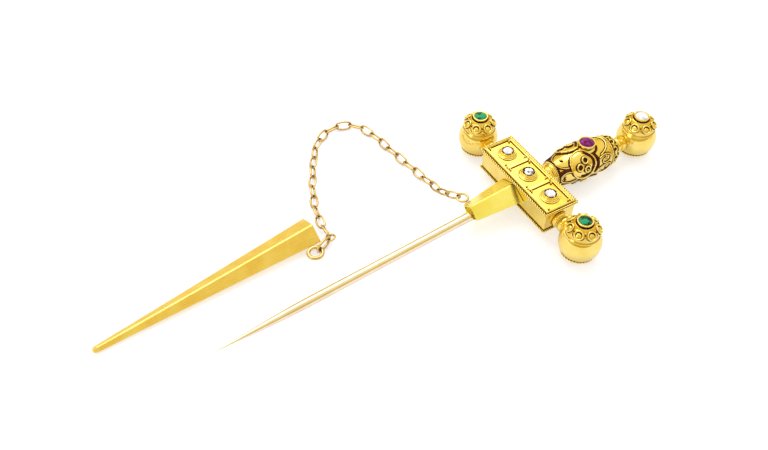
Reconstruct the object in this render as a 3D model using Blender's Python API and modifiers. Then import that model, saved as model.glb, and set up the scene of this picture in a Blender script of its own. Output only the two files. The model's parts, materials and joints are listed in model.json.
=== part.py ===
"""Sword-shaped hat pin with a chained scabbard, built as separate goldsmith's pieces.

Blender 4.5, metres, +Z up. The origin is the middle of the guard's back face.
+X runs from the guard to the pommel, the blade points along -X, and +Y is the chain's side.
Each sub-part is its own closed object. Each chain piece hangs from an empty on its hinge.
"""

import math

import bmesh
import bpy
from mathutils import Matrix, Vector

MM = 0.001
SEAT = 0.03 * MM  # gap between two pieces that rest on each other
MERGE = 0.001 * MM  # distance under which points of one piece are joined
ROUND_STEPS = 20  # sides of a turned piece

# Balls, with a flat for the crown's setting and a small flat foot
BALL_RADIUS = 3.1 * MM
BALL_WALL = 0.4 * MM
BALL_FOOT = 3.07 * MM
BALL_CROWN_FLAT = 2.82 * MM
BALL_REACH = 12.69 * MM  # guard's middle to a side ball's centre
POMMEL_REACH = 21.7 * MM

# Guard
CASE_HALF_X = 2.57 * MM
CASE_HALF_Y = 7.82 * MM
CASE_LOW = -1.5 * MM  # heights here are from the sword's axis
CASE_HIGH = 2.03 * MM
CASE_WALL = 0.3 * MM
PLATE_THICKNESS = 0.19 * MM
FRAME_THICKNESS = 0.2 * MM
PANEL_SPACING = 5.2 * MM
PANEL_HALF = (2.05 * MM, 2.3 * MM)
ROPE_RADIUS = 0.2 * MM
AXIS_HEIGHT = -CASE_LOW
TABLE = Vector((0.0, 0.0, AXIS_HEIGHT - BALL_FOOT))  # the balls, scabbard and chain lie on it

# Necks and pegs
PEG_RADIUS = 0.7 * MM
PEG_GAP = 0.04 * MM
NECK_RADIUS = 1.3 * MM
PEG_LENGTH = 0.8 * MM  # into the guard
PEG_LENGTH_HOLLOW = 0.9 * MM  # into a ball or the grip
GRIP_PEG_RADIUS = 0.9 * MM
GRIP_NECK_RADIUS = 1.72 * MM

# Grip
GRIP_START = 4.3 * MM
GRIP_WAIST = 11.0 * MM  # where the barrel is thickest
GRIP_END = 17.1 * MM
GRIP_START_RADIUS = 1.8 * MM
GRIP_RADIUS = 2.87 * MM
GRIP_END_RADIUS = 1.3 * MM
GRIP_WALL = 0.45 * MM
RUBY_X = 10.85 * MM
RUBY_FLAT = 2.6 * MM
RUBY_FLAT_HALF = (1.6 * MM, 2.0 * MM)

# Settings: a stone's radius, its girdle's height over the seat, and the foot's or collar's radius
CROWN_STONE = (1.0 * MM, 1.3 * MM, 1.35 * MM)
RUBY_STONE = (1.25 * MM, 1.05 * MM, 1.45 * MM)
GUARD_STONE = (1.0 * MM, 0.56 * MM, 1.5 * MM)
BEZEL_WALL = 0.2 * MM
BEZEL_LIP = 0.1 * MM  # rim above the girdle
BEZEL_LEDGE = 0.17 * MM  # ledge below the girdle
BEZEL_EASE = 0.05 * MM
BEZEL_FOOT = 0.1 * MM
BEZEL_WAIST = 0.12 * MM
COLLAR_THICKNESS = 0.26 * MM
GIRDLE_HALF = 0.03 * MM
STONE_SIDES = 16

# Blade: a lozenge socket, a plug in its narrow end and the pin, all a little askew
SOCKET_END_X = -10.56 * MM
SOCKET_ROOT = (2.77 * MM, 1.4 * MM)  # half width and half height at the guard
SOCKET_TIP = (1.95 * MM, 1.5 * MM)  # the same at the narrow end
SOCKET_LIFT = 0.33 * MM  # the socket's middle above the pin
SOCKET_WALL = 0.22 * MM
SOCKET_CHAMFER = 0.3 * MM
BLADE_BEND_X = -2.27 * MM  # where the blade's centre line leaves the sword's axis
BLADE_YAW = 0.064  # sideways and downward slope of the blade
BLADE_DROP = 0.024
PIN_RADIUS = 0.42 * MM
PIN_TIP_X = -51.8 * MM
PIN_TANG_X = -1.1 * MM
PIN_TAPER_START = 0.72  # share of the pin's length where the point begins
PIN_POINT_RADIUS = 0.03 * MM
PLUG_THICKNESS = 0.6 * MM
CONE_RADII = (0.62 * MM, 0.55 * MM)
CONE_REACH = 0.9 * MM  # the cone's nose beyond the socket's end

# Scabbard, with its own axis from the mouth to the tip; the mouth is given from the table
SCABBARD_MOUTH = Vector((-31.4 * MM, 9.4 * MM, 1.62 * MM))
SCABBARD_YAW = math.radians(5.8)
SCABBARD_DIP = math.radians(1.95)
SCABBARD_ROLL = math.radians(11.7)
SCABBARD_LENGTH = 33.4 * MM
SCABBARD_MOUTH_HALF = (2.4 * MM, 1.6 * MM)
SCABBARD_END_HALF = (0.6 * MM, 0.46 * MM)
SCABBARD_WALL = 0.22 * MM
SCABBARD_TIP_RADIUS = 0.45 * MM
SCABBARD_TIP_CYLINDER = 0.35 * MM

# Rings at the chain's two ends: radius of the wire's centre line, and of the wire
SOCKET_EYE = (0.82 * MM, 0.18 * MM)
SCABBARD_EYE = (1.0 * MM, 0.24 * MM)
SOCKET_EYE_SETBACK = 0.75 * MM
SCABBARD_EYE_SETBACK = 1.75 * MM

# Chain
LINK_COUNT = 25
LINK_WIRE = 0.15 * MM
LINK_WIDTH = 1.2 * MM  # across a link, from wire centre to wire centre
LINK_GAP = 0.06 * MM  # play between two linked wires
LINK_TILT = math.radians(30)
LINK_SIDES = 2  # bevel resolution of the round wire
ARC_STEPS = 6  # points on each rounded end of a link
OVAL_LINK = (2.75 * MM, 1.55 * MM, 0.19 * MM)  # length, width and wire
OVAL_HEADING = math.radians(205)
ROUND_LINK = (1.3 * MM, 0.16 * MM)
CHAIN_HEIGHT = 0.78 * MM
# Where the chain lies, from the socket's eye to the round link, in millimetres from the table
CHAIN_LAY = (
    (-11.0, 5.0, 2.45),
    (-11.1, 7.6, 1.5),
    (-11.3, 11.7, 0.78),
    (-12.3, 18.0, 0.78),
    (-13.2, 24.2, 0.78),
    (-14.9, 27.4, 0.78),
    (-17.5, 28.4, 0.78),
    (-20.7, 27.4, 0.78),
    (-23.1, 24.9, 0.78),
    (-25.7, 20.6, 0.78),
    (-27.9, 16.1, 0.78),
    (-29.3, 11.6, 0.78),
)


def clear_scene():
    for obj in list(bpy.data.objects):
        bpy.data.objects.remove(obj, do_unlink=True)


def collection(name):
    made = bpy.data.collections.new(name)
    bpy.context.scene.collection.children.link(made)
    return made


def metal(name, colour, roughness):
    made = bpy.data.materials.new(name)
    made.use_nodes = True
    shader = made.node_tree.nodes["Principled BSDF"]
    shader.inputs["Base Color"].default_value = (*colour, 1.0)
    shader.inputs["Metallic"].default_value = 1.0
    shader.inputs["Roughness"].default_value = roughness
    return made


def jewel(name, colour):
    made = bpy.data.materials.new(name)
    made.use_nodes = True
    shader = made.node_tree.nodes["Principled BSDF"]
    shader.inputs["Base Color"].default_value = (*colour, 1.0)
    shader.inputs["Roughness"].default_value = 0.03
    shader.inputs["IOR"].default_value = 1.6
    shader.inputs["Transmission Weight"].default_value = 0.8
    return made


def add(name, data, material, matrix):
    """An object with this mesh or curve, in the model's collection, placed by a matrix."""
    obj = bpy.data.objects.new(name, data)
    if data.materials:
        data.materials[0] = material
    else:
        data.materials.append(material)
    PARTS.objects.link(obj)
    obj.matrix_world = matrix
    return obj


def along(origin, direction, up=Vector((0, 0, 1))):
    """The frame at origin whose Z runs along direction."""
    z = direction.normalized()
    x = up.cross(z)
    if x.length < 1e-6:
        x = Vector((1, 0, 0)) if abs(z.x) < 0.9 else Vector((0, 1, 0))
    x.normalize()
    frame = Matrix((x, z.cross(x), z)).transposed().to_4x4()
    frame.translation = origin
    return frame


def turned(name, profile, material, matrix, steps=ROUND_STEPS):
    """A turned piece: (radius, height) points from the top down the outer side."""
    closed = profile[0] == profile[-1]
    points = profile[:-1] if closed else profile
    edges = [(i, i + 1) for i in range(len(points) - 1)]
    if closed:
        edges.append((len(points) - 1, 0))
    mesh = bpy.data.meshes.new(name)
    mesh.from_pydata([(r, 0.0, z) for r, z in points], edges, [])
    obj = add(name, mesh, material, matrix)
    screw = obj.modifiers.new("Turn", "SCREW")
    screw.axis = "Z"
    screw.steps = steps
    screw.render_steps = steps
    screw.use_merge_vertices = True
    screw.merge_threshold = MERGE
    screw.use_smooth_shade = True
    return obj


def arc(radius, start, end, steps, middle=0.0):
    """Points (radius, height) of a circle about (0, middle), from one angle to another."""
    angles = [start + (end - start) * i / steps for i in range(steps + 1)]
    return [(max(radius * math.cos(a), 0.0), middle + radius * math.sin(a)) for a in angles]


def wire_data(name, points, radius, resolution=LINK_SIDES):
    """A closed loop of round wire through the points."""
    curve = bpy.data.curves.new(name, "CURVE")
    curve.dimensions = "3D"
    curve.bevel_depth = radius
    curve.bevel_resolution = resolution
    spline = curve.splines.new("POLY")
    spline.points.add(len(points) - 1)
    for point, place in zip(spline.points, points):
        point.co = (*place, 1.0)
    spline.use_cyclic_u = True
    return curve


def oval_points(length, width, steps=ARC_STEPS):
    """The centre line of a link in its XY plane, with rounded ends and its middle at 0."""
    radius = width / 2
    straight = (length - width) / 2
    points = []
    for side in (1, -1):
        for i in range(steps + 1):
            angle = math.pi * (i / steps - 0.5)
            x = side * (straight + radius * math.cos(angle))
            points.append(Vector((x, side * radius * math.sin(angle), 0.0)))
        if straight < MERGE:
            points.pop()
    return points


def ring_points(radius, steps=2 * ARC_STEPS + 4):
    angles = [2 * math.pi * i / steps for i in range(steps)]
    return [Vector((radius * math.cos(a), radius * math.sin(a), 0.0)) for a in angles]


def loft(name, rings, material, matrix, closed=False):
    """A surface through rings of equal length, open at its ends or closed on itself."""
    mesh = bpy.data.meshes.new(name)
    model = bmesh.new()
    rows = [[model.verts.new(point) for point in ring] for ring in rings]
    pairs = list(zip(rows, rows[1:])) + ([(rows[-1], rows[0])] if closed else [])
    for low, high in pairs:
        for i in range(len(low)):
            k = (i + 1) % len(low)
            model.faces.new((low[i], low[k], high[k], high[i]))
    bmesh.ops.recalc_face_normals(model, faces=model.faces)
    model.to_mesh(mesh)
    model.free()
    return add(name, mesh, material, matrix)


def shell(obj, wall):
    """Gives an open surface a wall, on its inner side."""
    solidify = obj.modifiers.new("Wall", "SOLIDIFY")
    solidify.thickness = wall
    solidify.offset = -1.0
    solidify.use_even_offset = True
    return obj


def lozenge(half, x, centre=(0.0, 0.0), steps=1):
    """A lozenge in the plane at x, its corners on +-Y and +-Z, with steps points to a side."""
    corners = [(half[0], 0.0), (0.0, half[1]), (-half[0], 0.0), (0.0, -half[1])]
    points = []
    for i, start in enumerate(corners):
        end = corners[(i + 1) % 4]
        for k in range(steps):
            share = k / steps
            y = start[0] + (end[0] - start[0]) * share
            z = start[1] + (end[1] - start[1]) * share
            points.append(Vector((x, centre[0] + y, centre[1] + z)))
    return points


def box_mesh(name, low, high):
    mesh = bpy.data.meshes.new(name)
    model = bmesh.new()
    bmesh.ops.create_cube(model, size=1.0)
    size = Vector(high) - Vector(low)
    bmesh.ops.scale(model, vec=size, verts=model.verts)
    bmesh.ops.translate(model, vec=(Vector(low) + Vector(high)) / 2, verts=model.verts)
    model.to_mesh(mesh)
    model.free()
    return mesh


def cut(obj, cutter):
    """Takes the cutter's shape out of the object."""
    cutter.hide_render = True
    cutter.display_type = "WIRE"
    boolean = obj.modifiers.new("Cut " + cutter.name, "BOOLEAN")
    boolean.operation = "DIFFERENCE"
    boolean.solver = "EXACT"
    boolean.object = cutter


def rod_cutter(name, radius, start, end):
    """A round cutter between two points."""
    mesh = bpy.data.meshes.new(name)
    model = bmesh.new()
    bmesh.ops.create_cone(
        model,
        cap_ends=True,
        segments=ROUND_STEPS,
        radius1=radius,
        radius2=radius,
        depth=(end - start).length,
    )
    model.to_mesh(mesh)
    model.free()
    cutter = bpy.data.objects.new(name, mesh)
    CUTTERS.objects.link(cutter)
    cutter.matrix_world = along((start + end) / 2, end - start)
    return cutter


def slab_cutter(name, low, high):
    cutter = bpy.data.objects.new(name, box_mesh(name, low, high))
    CUTTERS.objects.link(cutter)
    return cutter


def on_axis(x, y=0.0, z=0.0):
    """A point given from the sword's axis, at the guard's middle."""
    return Vector((x, y, AXIS_HEIGHT + z))


def blade_point(x):
    """The blade's own centre line at a distance along the sword."""
    run = x - BLADE_BEND_X
    return on_axis(x, BLADE_YAW * run, BLADE_DROP * run)


# Guard


def build_guard():
    low = on_axis(-CASE_HALF_X, -CASE_HALF_Y, CASE_LOW)
    high = on_axis(CASE_HALF_X, CASE_HALF_Y, CASE_HIGH)
    mesh = box_mesh("guard_case", low, high)
    model = bmesh.new()
    model.from_mesh(mesh)
    lid = [face for face in model.faces if face.normal.z > 0.5]
    bmesh.ops.delete(model, geom=lid, context="FACES_ONLY")
    model.to_mesh(mesh)
    model.free()
    case = shell(add("guard_case", mesh, GOLD, Matrix()), CASE_WALL)
    reach = CASE_HALF_Y + MM
    hole = PEG_RADIUS + PEG_GAP
    cut(case, rod_cutter("end_holes", hole, on_axis(0, -reach), on_axis(0, reach)))
    cut(
        case,
        rod_cutter("grip_hole", GRIP_PEG_RADIUS + PEG_GAP, on_axis(0), on_axis(CASE_HALF_X + MM)),
    )
    cut(
        case,
        rod_cutter("tang_hole", PIN_RADIUS + 2 * PEG_GAP, blade_point(-CASE_HALF_X - MM), blade_point(0)),
    )

    plate_low = CASE_HIGH + SEAT
    plate_high = plate_low + PLATE_THICKNESS
    plate = box_mesh(
        "guard_top_plate",
        on_axis(-CASE_HALF_X, -CASE_HALF_Y, plate_low),
        on_axis(CASE_HALF_X, CASE_HALF_Y, plate_high),
    )
    add("guard_top_plate", plate, GOLD, Matrix())

    rope_x = CASE_HALF_X + SEAT + ROPE_RADIUS
    rope_y = CASE_HALF_Y + SEAT + ROPE_RADIUS
    corner = 0.5 * ROPE_RADIUS
    rope = rounded_rectangle(rope_x, rope_y, corner)
    add(
        "guard_top_rope",
        wire_data("guard_top_rope", rope, ROPE_RADIUS),
        GOLD,
        Matrix.Translation(on_axis(0, 0, plate_high - 0.4 * ROPE_RADIUS)),
    )
    build_panel_frame(plate_high + SEAT)
    return plate_high


def rounded_rectangle(half_x, half_y, corner, steps=2):
    """A closed outline about the origin, running anticlockwise."""
    points = []
    for quarter, (sx, sy) in enumerate(((1, 1), (-1, 1), (-1, -1), (1, -1))):
        for i in range(steps + 1):
            angle = math.pi / 2 * (quarter + i / steps)
            x = sx * (half_x - corner) + corner * math.cos(angle)
            y = sy * (half_y - corner) + corner * math.sin(angle)
            points.append(Vector((x, y, 0.0)))
    return points


def build_panel_frame(height):
    """A flat frame with three windows, standing on the top plate."""
    curve = bpy.data.curves.new("panel_frame", "CURVE")
    curve.dimensions = "2D"
    curve.fill_mode = "BOTH"
    curve.extrude = FRAME_THICKNESS / 2
    outlines = [(0.0, CASE_HALF_X - SEAT, CASE_HALF_Y - SEAT)]
    outlines += [(k * PANEL_SPACING, *PANEL_HALF) for k in (-1, 0, 1)]
    for middle, half_x, half_y in outlines:
        spline = curve.splines.new("POLY")
        spline.points.add(3)
        corners = ((1, 1), (-1, 1), (-1, -1), (1, -1))
        for point, (sx, sy) in zip(spline.points, corners):
            point.co = (sx * half_x, middle + sy * half_y, 0.0, 1.0)
        spline.use_cyclic_u = True
    place = Matrix.Translation(on_axis(0, 0, height + FRAME_THICKNESS / 2))
    solid_from_curve("panel_frame", curve, GOLD, place)


def solid_from_curve(name, curve, material, matrix):
    """A filled curve as one welded mesh."""
    temporary = bpy.data.objects.new(name + "_curve", curve)
    PARTS.objects.link(temporary)
    graph = bpy.context.evaluated_depsgraph_get()
    mesh = bpy.data.meshes.new_from_object(temporary.evaluated_get(graph))
    bpy.data.objects.remove(temporary, do_unlink=True)
    model = bmesh.new()
    model.from_mesh(mesh)
    bmesh.ops.remove_doubles(model, verts=model.verts, dist=MERGE)
    bmesh.ops.recalc_face_normals(model, faces=model.faces)
    model.to_mesh(mesh)
    model.free()
    mesh.name = name
    return add(name, mesh, material, matrix)


# Settings and stones


def build_setting(name, stone, centre, sizes, jewel_material, collared=False):
    """A turned bezel on a flat, with a waist or a collar, and the stone in it."""
    radius, height, foot = sizes
    pocket = radius + SEAT
    outside = pocket + BEZEL_WALL
    hole = 0.82 * radius
    rim = height + BEZEL_LIP
    ledge = height - BEZEL_LEDGE
    profile = [(pocket, rim), (outside, rim - BEZEL_EASE), (outside, ledge)]
    if collared:
        profile += [(outside, 1.15 * COLLAR_THICKNESS), (foot, COLLAR_THICKNESS), (foot, 0.0)]
    else:
        waist = min(foot, outside) - BEZEL_WAIST
        profile += [(waist, 0.5 * height), (foot, BEZEL_FOOT), (foot, 0.0)]
    profile += [(hole, 0.0), (hole, ledge), (pocket, ledge), (pocket, rim)]
    turned(name, profile, GOLD, Matrix.Translation(centre))

    cut_stone = [
        (0.0, 0.32 * radius),
        (0.58 * radius, 0.3 * radius),
        (radius, GIRDLE_HALF),
        (radius, -GIRDLE_HALF),
        (0.0, -0.42 * radius),
    ]
    place = Matrix.Translation(centre + Vector((0, 0, height)))
    turned(stone, cut_stone, jewel_material, place, steps=STONE_SIDES)


# Balls and necks


def build_ball(name, centre, neck_direction, crown_stone, crown_bezel, jewel_material):
    """A hollow ball with a peg hole on its neck's side and a set stone on top."""
    inner = BALL_RADIUS - BALL_WALL
    hole = PEG_RADIUS + PEG_GAP
    inner_edge = math.acos(hole / inner)
    outer_edge = math.acos(hole / BALL_RADIUS)
    profile = arc(inner, -math.pi / 2, inner_edge, 6)
    profile += arc(BALL_RADIUS, outer_edge, -math.pi / 2, 11)
    ball = turned(name, profile, GOLD, along(centre, neck_direction))
    wide = 2 * BALL_RADIUS
    for end, low, high in (("crown", BALL_CROWN_FLAT, wide), ("foot", -wide, -BALL_FOOT)):
        cutter = slab_cutter(
            f"{name}_{end}_flat",
            centre + Vector((-wide, -wide, low)),
            centre + Vector((wide, wide, high)),
        )
        cut(ball, cutter)
    seat = centre + Vector((0, 0, BALL_CROWN_FLAT + SEAT))
    build_setting(crown_bezel, crown_stone, seat, CROWN_STONE, jewel_material)


def neck_seat(length, outer, peg):
    """The end of a neck against a ball: a concave seat, then a peg into the ball."""
    middle = length + BALL_RADIUS
    gap = BALL_RADIUS + SEAT
    start = -math.acos(outer / gap)
    end = -math.acos(peg / gap)
    reach = length + PEG_LENGTH_HOLLOW
    return arc(gap, start, end, 3, middle) + [(peg, reach), (0.0, reach)]


def build_side_neck(name, side):
    """Two collars between the guard's end and a side ball, with a peg into each."""
    length = BALL_REACH - BALL_RADIUS - CASE_HALF_Y - SEAT
    body = [
        (0.0, -PEG_LENGTH),
        (PEG_RADIUS, -PEG_LENGTH),
        (PEG_RADIUS, 0.0),
        (NECK_RADIUS, 0.0),
        (NECK_RADIUS, 0.3 * length),
        (0.8 * NECK_RADIUS, 0.42 * length),
        (0.8 * NECK_RADIUS, 0.5 * length),
        (0.95 * NECK_RADIUS, 0.65 * length),
        (0.95 * NECK_RADIUS, 0.95 * length),
    ]
    profile = body + neck_seat(length, 0.9 * NECK_RADIUS, PEG_RADIUS)
    direction = Vector((0, side, 0))
    origin = on_axis(0, side * (CASE_HALF_Y + SEAT))
    turned(name, profile[::-1], GOLD, along(origin, direction))


def build_pommel_neck():
    start = GRIP_END + SEAT
    length = POMMEL_REACH - BALL_RADIUS - start
    body = [
        (0.0, -PEG_LENGTH_HOLLOW),
        (PEG_RADIUS, -PEG_LENGTH_HOLLOW),
        (PEG_RADIUS, 0.0),
        (1.15 * MM, 0.0),
        (1.2 * MM, 0.25 * length),
        (0.95 * MM, 0.35 * length),
        (0.95 * MM, 0.45 * length),
        (1.25 * MM, 0.55 * length),
        (1.25 * MM, 0.9 * length),
    ]
    profile = body + neck_seat(length, 1.1 * MM, PEG_RADIUS)
    turned("pommel_neck", profile[::-1], GOLD, along(on_axis(start), Vector((1, 0, 0))))


def build_grip_neck():
    """The plain collar between the guard and the grip, with a peg into each."""
    start = CASE_HALF_X + SEAT
    length = GRIP_START - SEAT - start
    profile = [
        (0.0, length + PEG_LENGTH_HOLLOW),
        (GRIP_PEG_RADIUS, length + PEG_LENGTH_HOLLOW),
        (GRIP_PEG_RADIUS, length),
        (GRIP_NECK_RADIUS, length),
        (GRIP_NECK_RADIUS, 0.0),
        (GRIP_PEG_RADIUS, 0.0),
        (GRIP_PEG_RADIUS, -PEG_LENGTH),
        (0.0, -PEG_LENGTH),
    ]
    turned("grip_neck", profile, GOLD, along(on_axis(start), Vector((1, 0, 0))))


# Grip


def grip_radius(x):
    """The barrel's outer radius: a slow swell from the guard, then a rounded shoulder."""
    if x < GRIP_WAIST:
        share = (x - GRIP_START) / (GRIP_WAIST - GRIP_START)
        swell = math.sin(math.pi / 2 * share) ** 0.8
        return GRIP_START_RADIUS + (GRIP_RADIUS - GRIP_START_RADIUS) * swell
    share = (x - GRIP_WAIST) / (GRIP_END - GRIP_WAIST)
    fall = math.sqrt(max(1.0 - share * share, 0.0))
    return GRIP_END_RADIUS + (GRIP_RADIUS - GRIP_END_RADIUS) * fall


def build_grip():
    length = GRIP_END - GRIP_START
    outer = []
    for i in range(13):
        share = math.sin(math.pi / 2 * i / 12)
        x = GRIP_START + length * share
        outer.append((grip_radius(x), x - GRIP_START))
    inner = [(r - GRIP_WALL, z) for r, z in outer[1:-2:2]]
    start_hole = GRIP_PEG_RADIUS + PEG_GAP
    end_hole = PEG_RADIUS + PEG_GAP
    loop = outer[::-1] + [(start_hole, 0.0), (start_hole, GRIP_WALL)]
    loop += inner + [(end_hole, length - 1.5 * GRIP_WALL), (end_hole, length)]
    barrel = turned(
        "grip_barrel", loop + [loop[0]], GOLD, along(on_axis(GRIP_START), Vector((1, 0, 0)))
    )
    half_x, half_y = RUBY_FLAT_HALF
    flat = slab_cutter(
        "ruby_flat",
        on_axis(RUBY_X - half_x, -half_y, RUBY_FLAT),
        on_axis(RUBY_X + half_x, half_y, GRIP_RADIUS + MM),
    )
    cut(barrel, flat)
    build_setting("ruby_bezel", "ruby", on_axis(RUBY_X, 0, RUBY_FLAT + SEAT), RUBY_STONE, RUBY)


# Blade


def build_blade():
    root_x = -CASE_HALF_X - 2 * SEAT
    root = blade_point(root_x)
    tip = blade_point(SOCKET_END_X)
    before = blade_point(SOCKET_END_X + SOCKET_CHAMFER)
    trimmed = [half - 0.6 * SOCKET_CHAMFER for half in SOCKET_TIP]
    lift = Vector((0.0, SOCKET_LIFT))
    rings = [
        lozenge(SOCKET_ROOT, root_x, root.yz + lift),
        lozenge(SOCKET_TIP, SOCKET_END_X + SOCKET_CHAMFER, before.yz + lift),
        lozenge(trimmed, SOCKET_END_X, tip.yz + lift),
    ]
    shell(loft("blade_socket", rings, GOLD, Matrix()), SOCKET_WALL)
    build_plug()

    start = blade_point(PIN_TANG_X)
    end = blade_point(PIN_TIP_X)
    length = (end - start).length
    stem = [(0.0, length), (PIN_POINT_RADIUS, length)]
    taper = 5
    for i in range(taper - 1, -1, -1):
        share = i / taper
        height = length * (PIN_TAPER_START + (1 - PIN_TAPER_START) * share)
        radius = PIN_POINT_RADIUS + (PIN_RADIUS - PIN_POINT_RADIUS) * (1 - share**1.6)
        stem.append((radius, height))
    stem += [(PIN_RADIUS, 0.0), (0.0, 0.0)]
    turned("pin_stem", stem, PALE_GOLD, along(start, end - start), steps=12)


def build_plug():
    """A lozenge plate inside the socket's narrow end, rising to a cone around the pin."""
    face_x = SOCKET_END_X + 2.2 * SOCKET_CHAMFER
    back_x = face_x + PLUG_THICKNESS
    nose_x = SOCKET_END_X - CONE_REACH
    half = [h - 1.65 * SOCKET_WALL for h in SOCKET_TIP]
    lift = Vector((0.0, SOCKET_LIFT))
    sides = 4
    bore = PIN_RADIUS + PEG_GAP

    def circle(radius, x):
        middle = blade_point(x)
        points = []
        for i in range(4 * sides):
            angle = math.pi / 2 * i / sides
            y = middle.y + radius * math.cos(angle)
            points.append(Vector((x, y, middle.z + radius * math.sin(angle))))
        return points

    rings = [
        lozenge(half, back_x, blade_point(back_x).yz + lift, sides),
        lozenge(half, face_x, blade_point(face_x).yz + lift, sides),
        circle(CONE_RADII[0], face_x - 0.1 * MM),
        circle(CONE_RADII[1], nose_x),
        circle(bore, nose_x),
        circle(bore, back_x),
    ]
    loft("socket_plug", rings, GOLD, Matrix(), closed=True)


# Scabbard


def scabbard_frame():
    """The scabbard's frame: X from the tip to the mouth, Y to its upper side corner."""
    turn = Matrix.Rotation(SCABBARD_YAW, 4, "Z") @ Matrix.Rotation(-SCABBARD_DIP, 4, "Y")
    return Matrix.Translation(TABLE + SCABBARD_MOUTH) @ turn @ Matrix.Rotation(SCABBARD_ROLL, 4, "X")


def scabbard_half(x):
    """Half width and half height at a distance from the mouth, which is at 0."""
    share = -x / SCABBARD_LENGTH
    pairs = zip(SCABBARD_MOUTH_HALF, SCABBARD_END_HALF)
    return [mouth + (end - mouth) * share for mouth, end in pairs]


def build_scabbard():
    frame = scabbard_frame()
    rings = [lozenge(scabbard_half(x), x) for x in (0.0, -SCABBARD_LENGTH)]
    shell(loft("scabbard_shell", rings, SATIN_GOLD, frame), SCABBARD_WALL)
    profile = arc(SCABBARD_TIP_RADIUS, math.pi / 2, 0.0, 4, SCABBARD_TIP_CYLINDER)
    profile += [(SCABBARD_TIP_RADIUS, 0.0), (0.0, 0.0)]
    end = frame @ Vector((-SCABBARD_LENGTH - SEAT, 0, 0))
    away = -(frame.to_3x3() @ Vector((1, 0, 0)))
    turned("scabbard_tip", profile, SATIN_GOLD, along(end, away), steps=12)
    points = ring_points(SCABBARD_EYE[0])
    eye = wire_data("scabbard_eye", points, SCABBARD_EYE[1])
    add("scabbard_eye", eye, SATIN_GOLD, Matrix.Translation(scabbard_eye_centre()))


def scabbard_eye_centre():
    """The scabbard's eye lies flat, beside the shell's lower side corner near the mouth."""
    x = -SCABBARD_EYE_SETBACK
    corner = scabbard_frame() @ Vector((x, -scabbard_half(x)[0], 0))
    reach = sum(SCABBARD_EYE) + SEAT
    return corner + Vector((0.1, -1.0, 0.0)).normalized() * reach


def socket_eye_centre():
    """The socket's eye lies flat, beside the socket's chain-side corner."""
    x = SOCKET_END_X + SOCKET_EYE_SETBACK
    share = (SOCKET_END_X - x) / (SOCKET_END_X + CASE_HALF_X)
    half = SOCKET_TIP[0] + (SOCKET_ROOT[0] - SOCKET_TIP[0]) * share
    return blade_point(x) + Vector((0.0, half + sum(SOCKET_EYE) + SEAT, SOCKET_LIFT))


# Chain


def link_frame(middle, direction, roll):
    """A link's frame: X along the chain, Y across the link, Z out of its plane."""
    x = direction.normalized()
    side = Vector((0, 0, 1)).cross(x).normalized()
    across = Matrix.Rotation(roll, 3, x) @ side
    frame = Matrix((x, across, x.cross(across))).transposed().to_4x4()
    frame.translation = middle
    return frame


def smooth_path(points, samples=40):
    """A Catmull-Rom curve through the points, as a fine polyline."""
    padded = [2 * points[0] - points[1]] + points + [2 * points[-1] - points[-2]]
    path = []
    for a, b, c, d in zip(padded, padded[1:], padded[2:], padded[3:]):
        for i in range(samples):
            t = i / samples
            bend = (2 * a - 5 * b + 4 * c - d) * t * t + (3 * b - a - 3 * c + d) * t**3
            path.append((2 * b + (c - a) * t + bend) / 2)
    return path + [points[-1]]


def step_along(path, pitch, count):
    """Points on the path at equal straight steps, and how much of the path is left."""
    found = [path[0]]
    for i in range(1, len(path)):
        start, end = path[i - 1], path[i]
        while (end - found[-1]).length >= pitch and len(found) <= count:
            low, high = 0.0, 1.0
            for _ in range(30):
                half = (low + high) / 2
                if (start.lerp(end, half) - found[-1]).length < pitch:
                    low = half
                else:
                    high = half
            found.append(start.lerp(end, high))
            start = found[-1]
        if len(found) > count:
            return found, len(path) - i
    return found, 0


def equal_steps(path, count):
    """Points that divide the path into this many equal straight steps."""
    low, high = 1.0 * MM, 4.0 * MM
    for _ in range(40):
        pitch = (low + high) / 2
        found, left = step_along(path, pitch, count)
        if len(found) > count and left:
            low = pitch
        else:
            high = pitch
    found, _ = step_along(path, low, count)
    return found[:count] + [path[-1]]


def level(direction):
    """The horizontal unit vector along a direction."""
    return Vector((direction.x, direction.y, 0.0)).normalized()


def linked(wire_a, wire_b):
    """The distance between the centres of two linked wires."""
    return wire_a + wire_b + LINK_GAP


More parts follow.
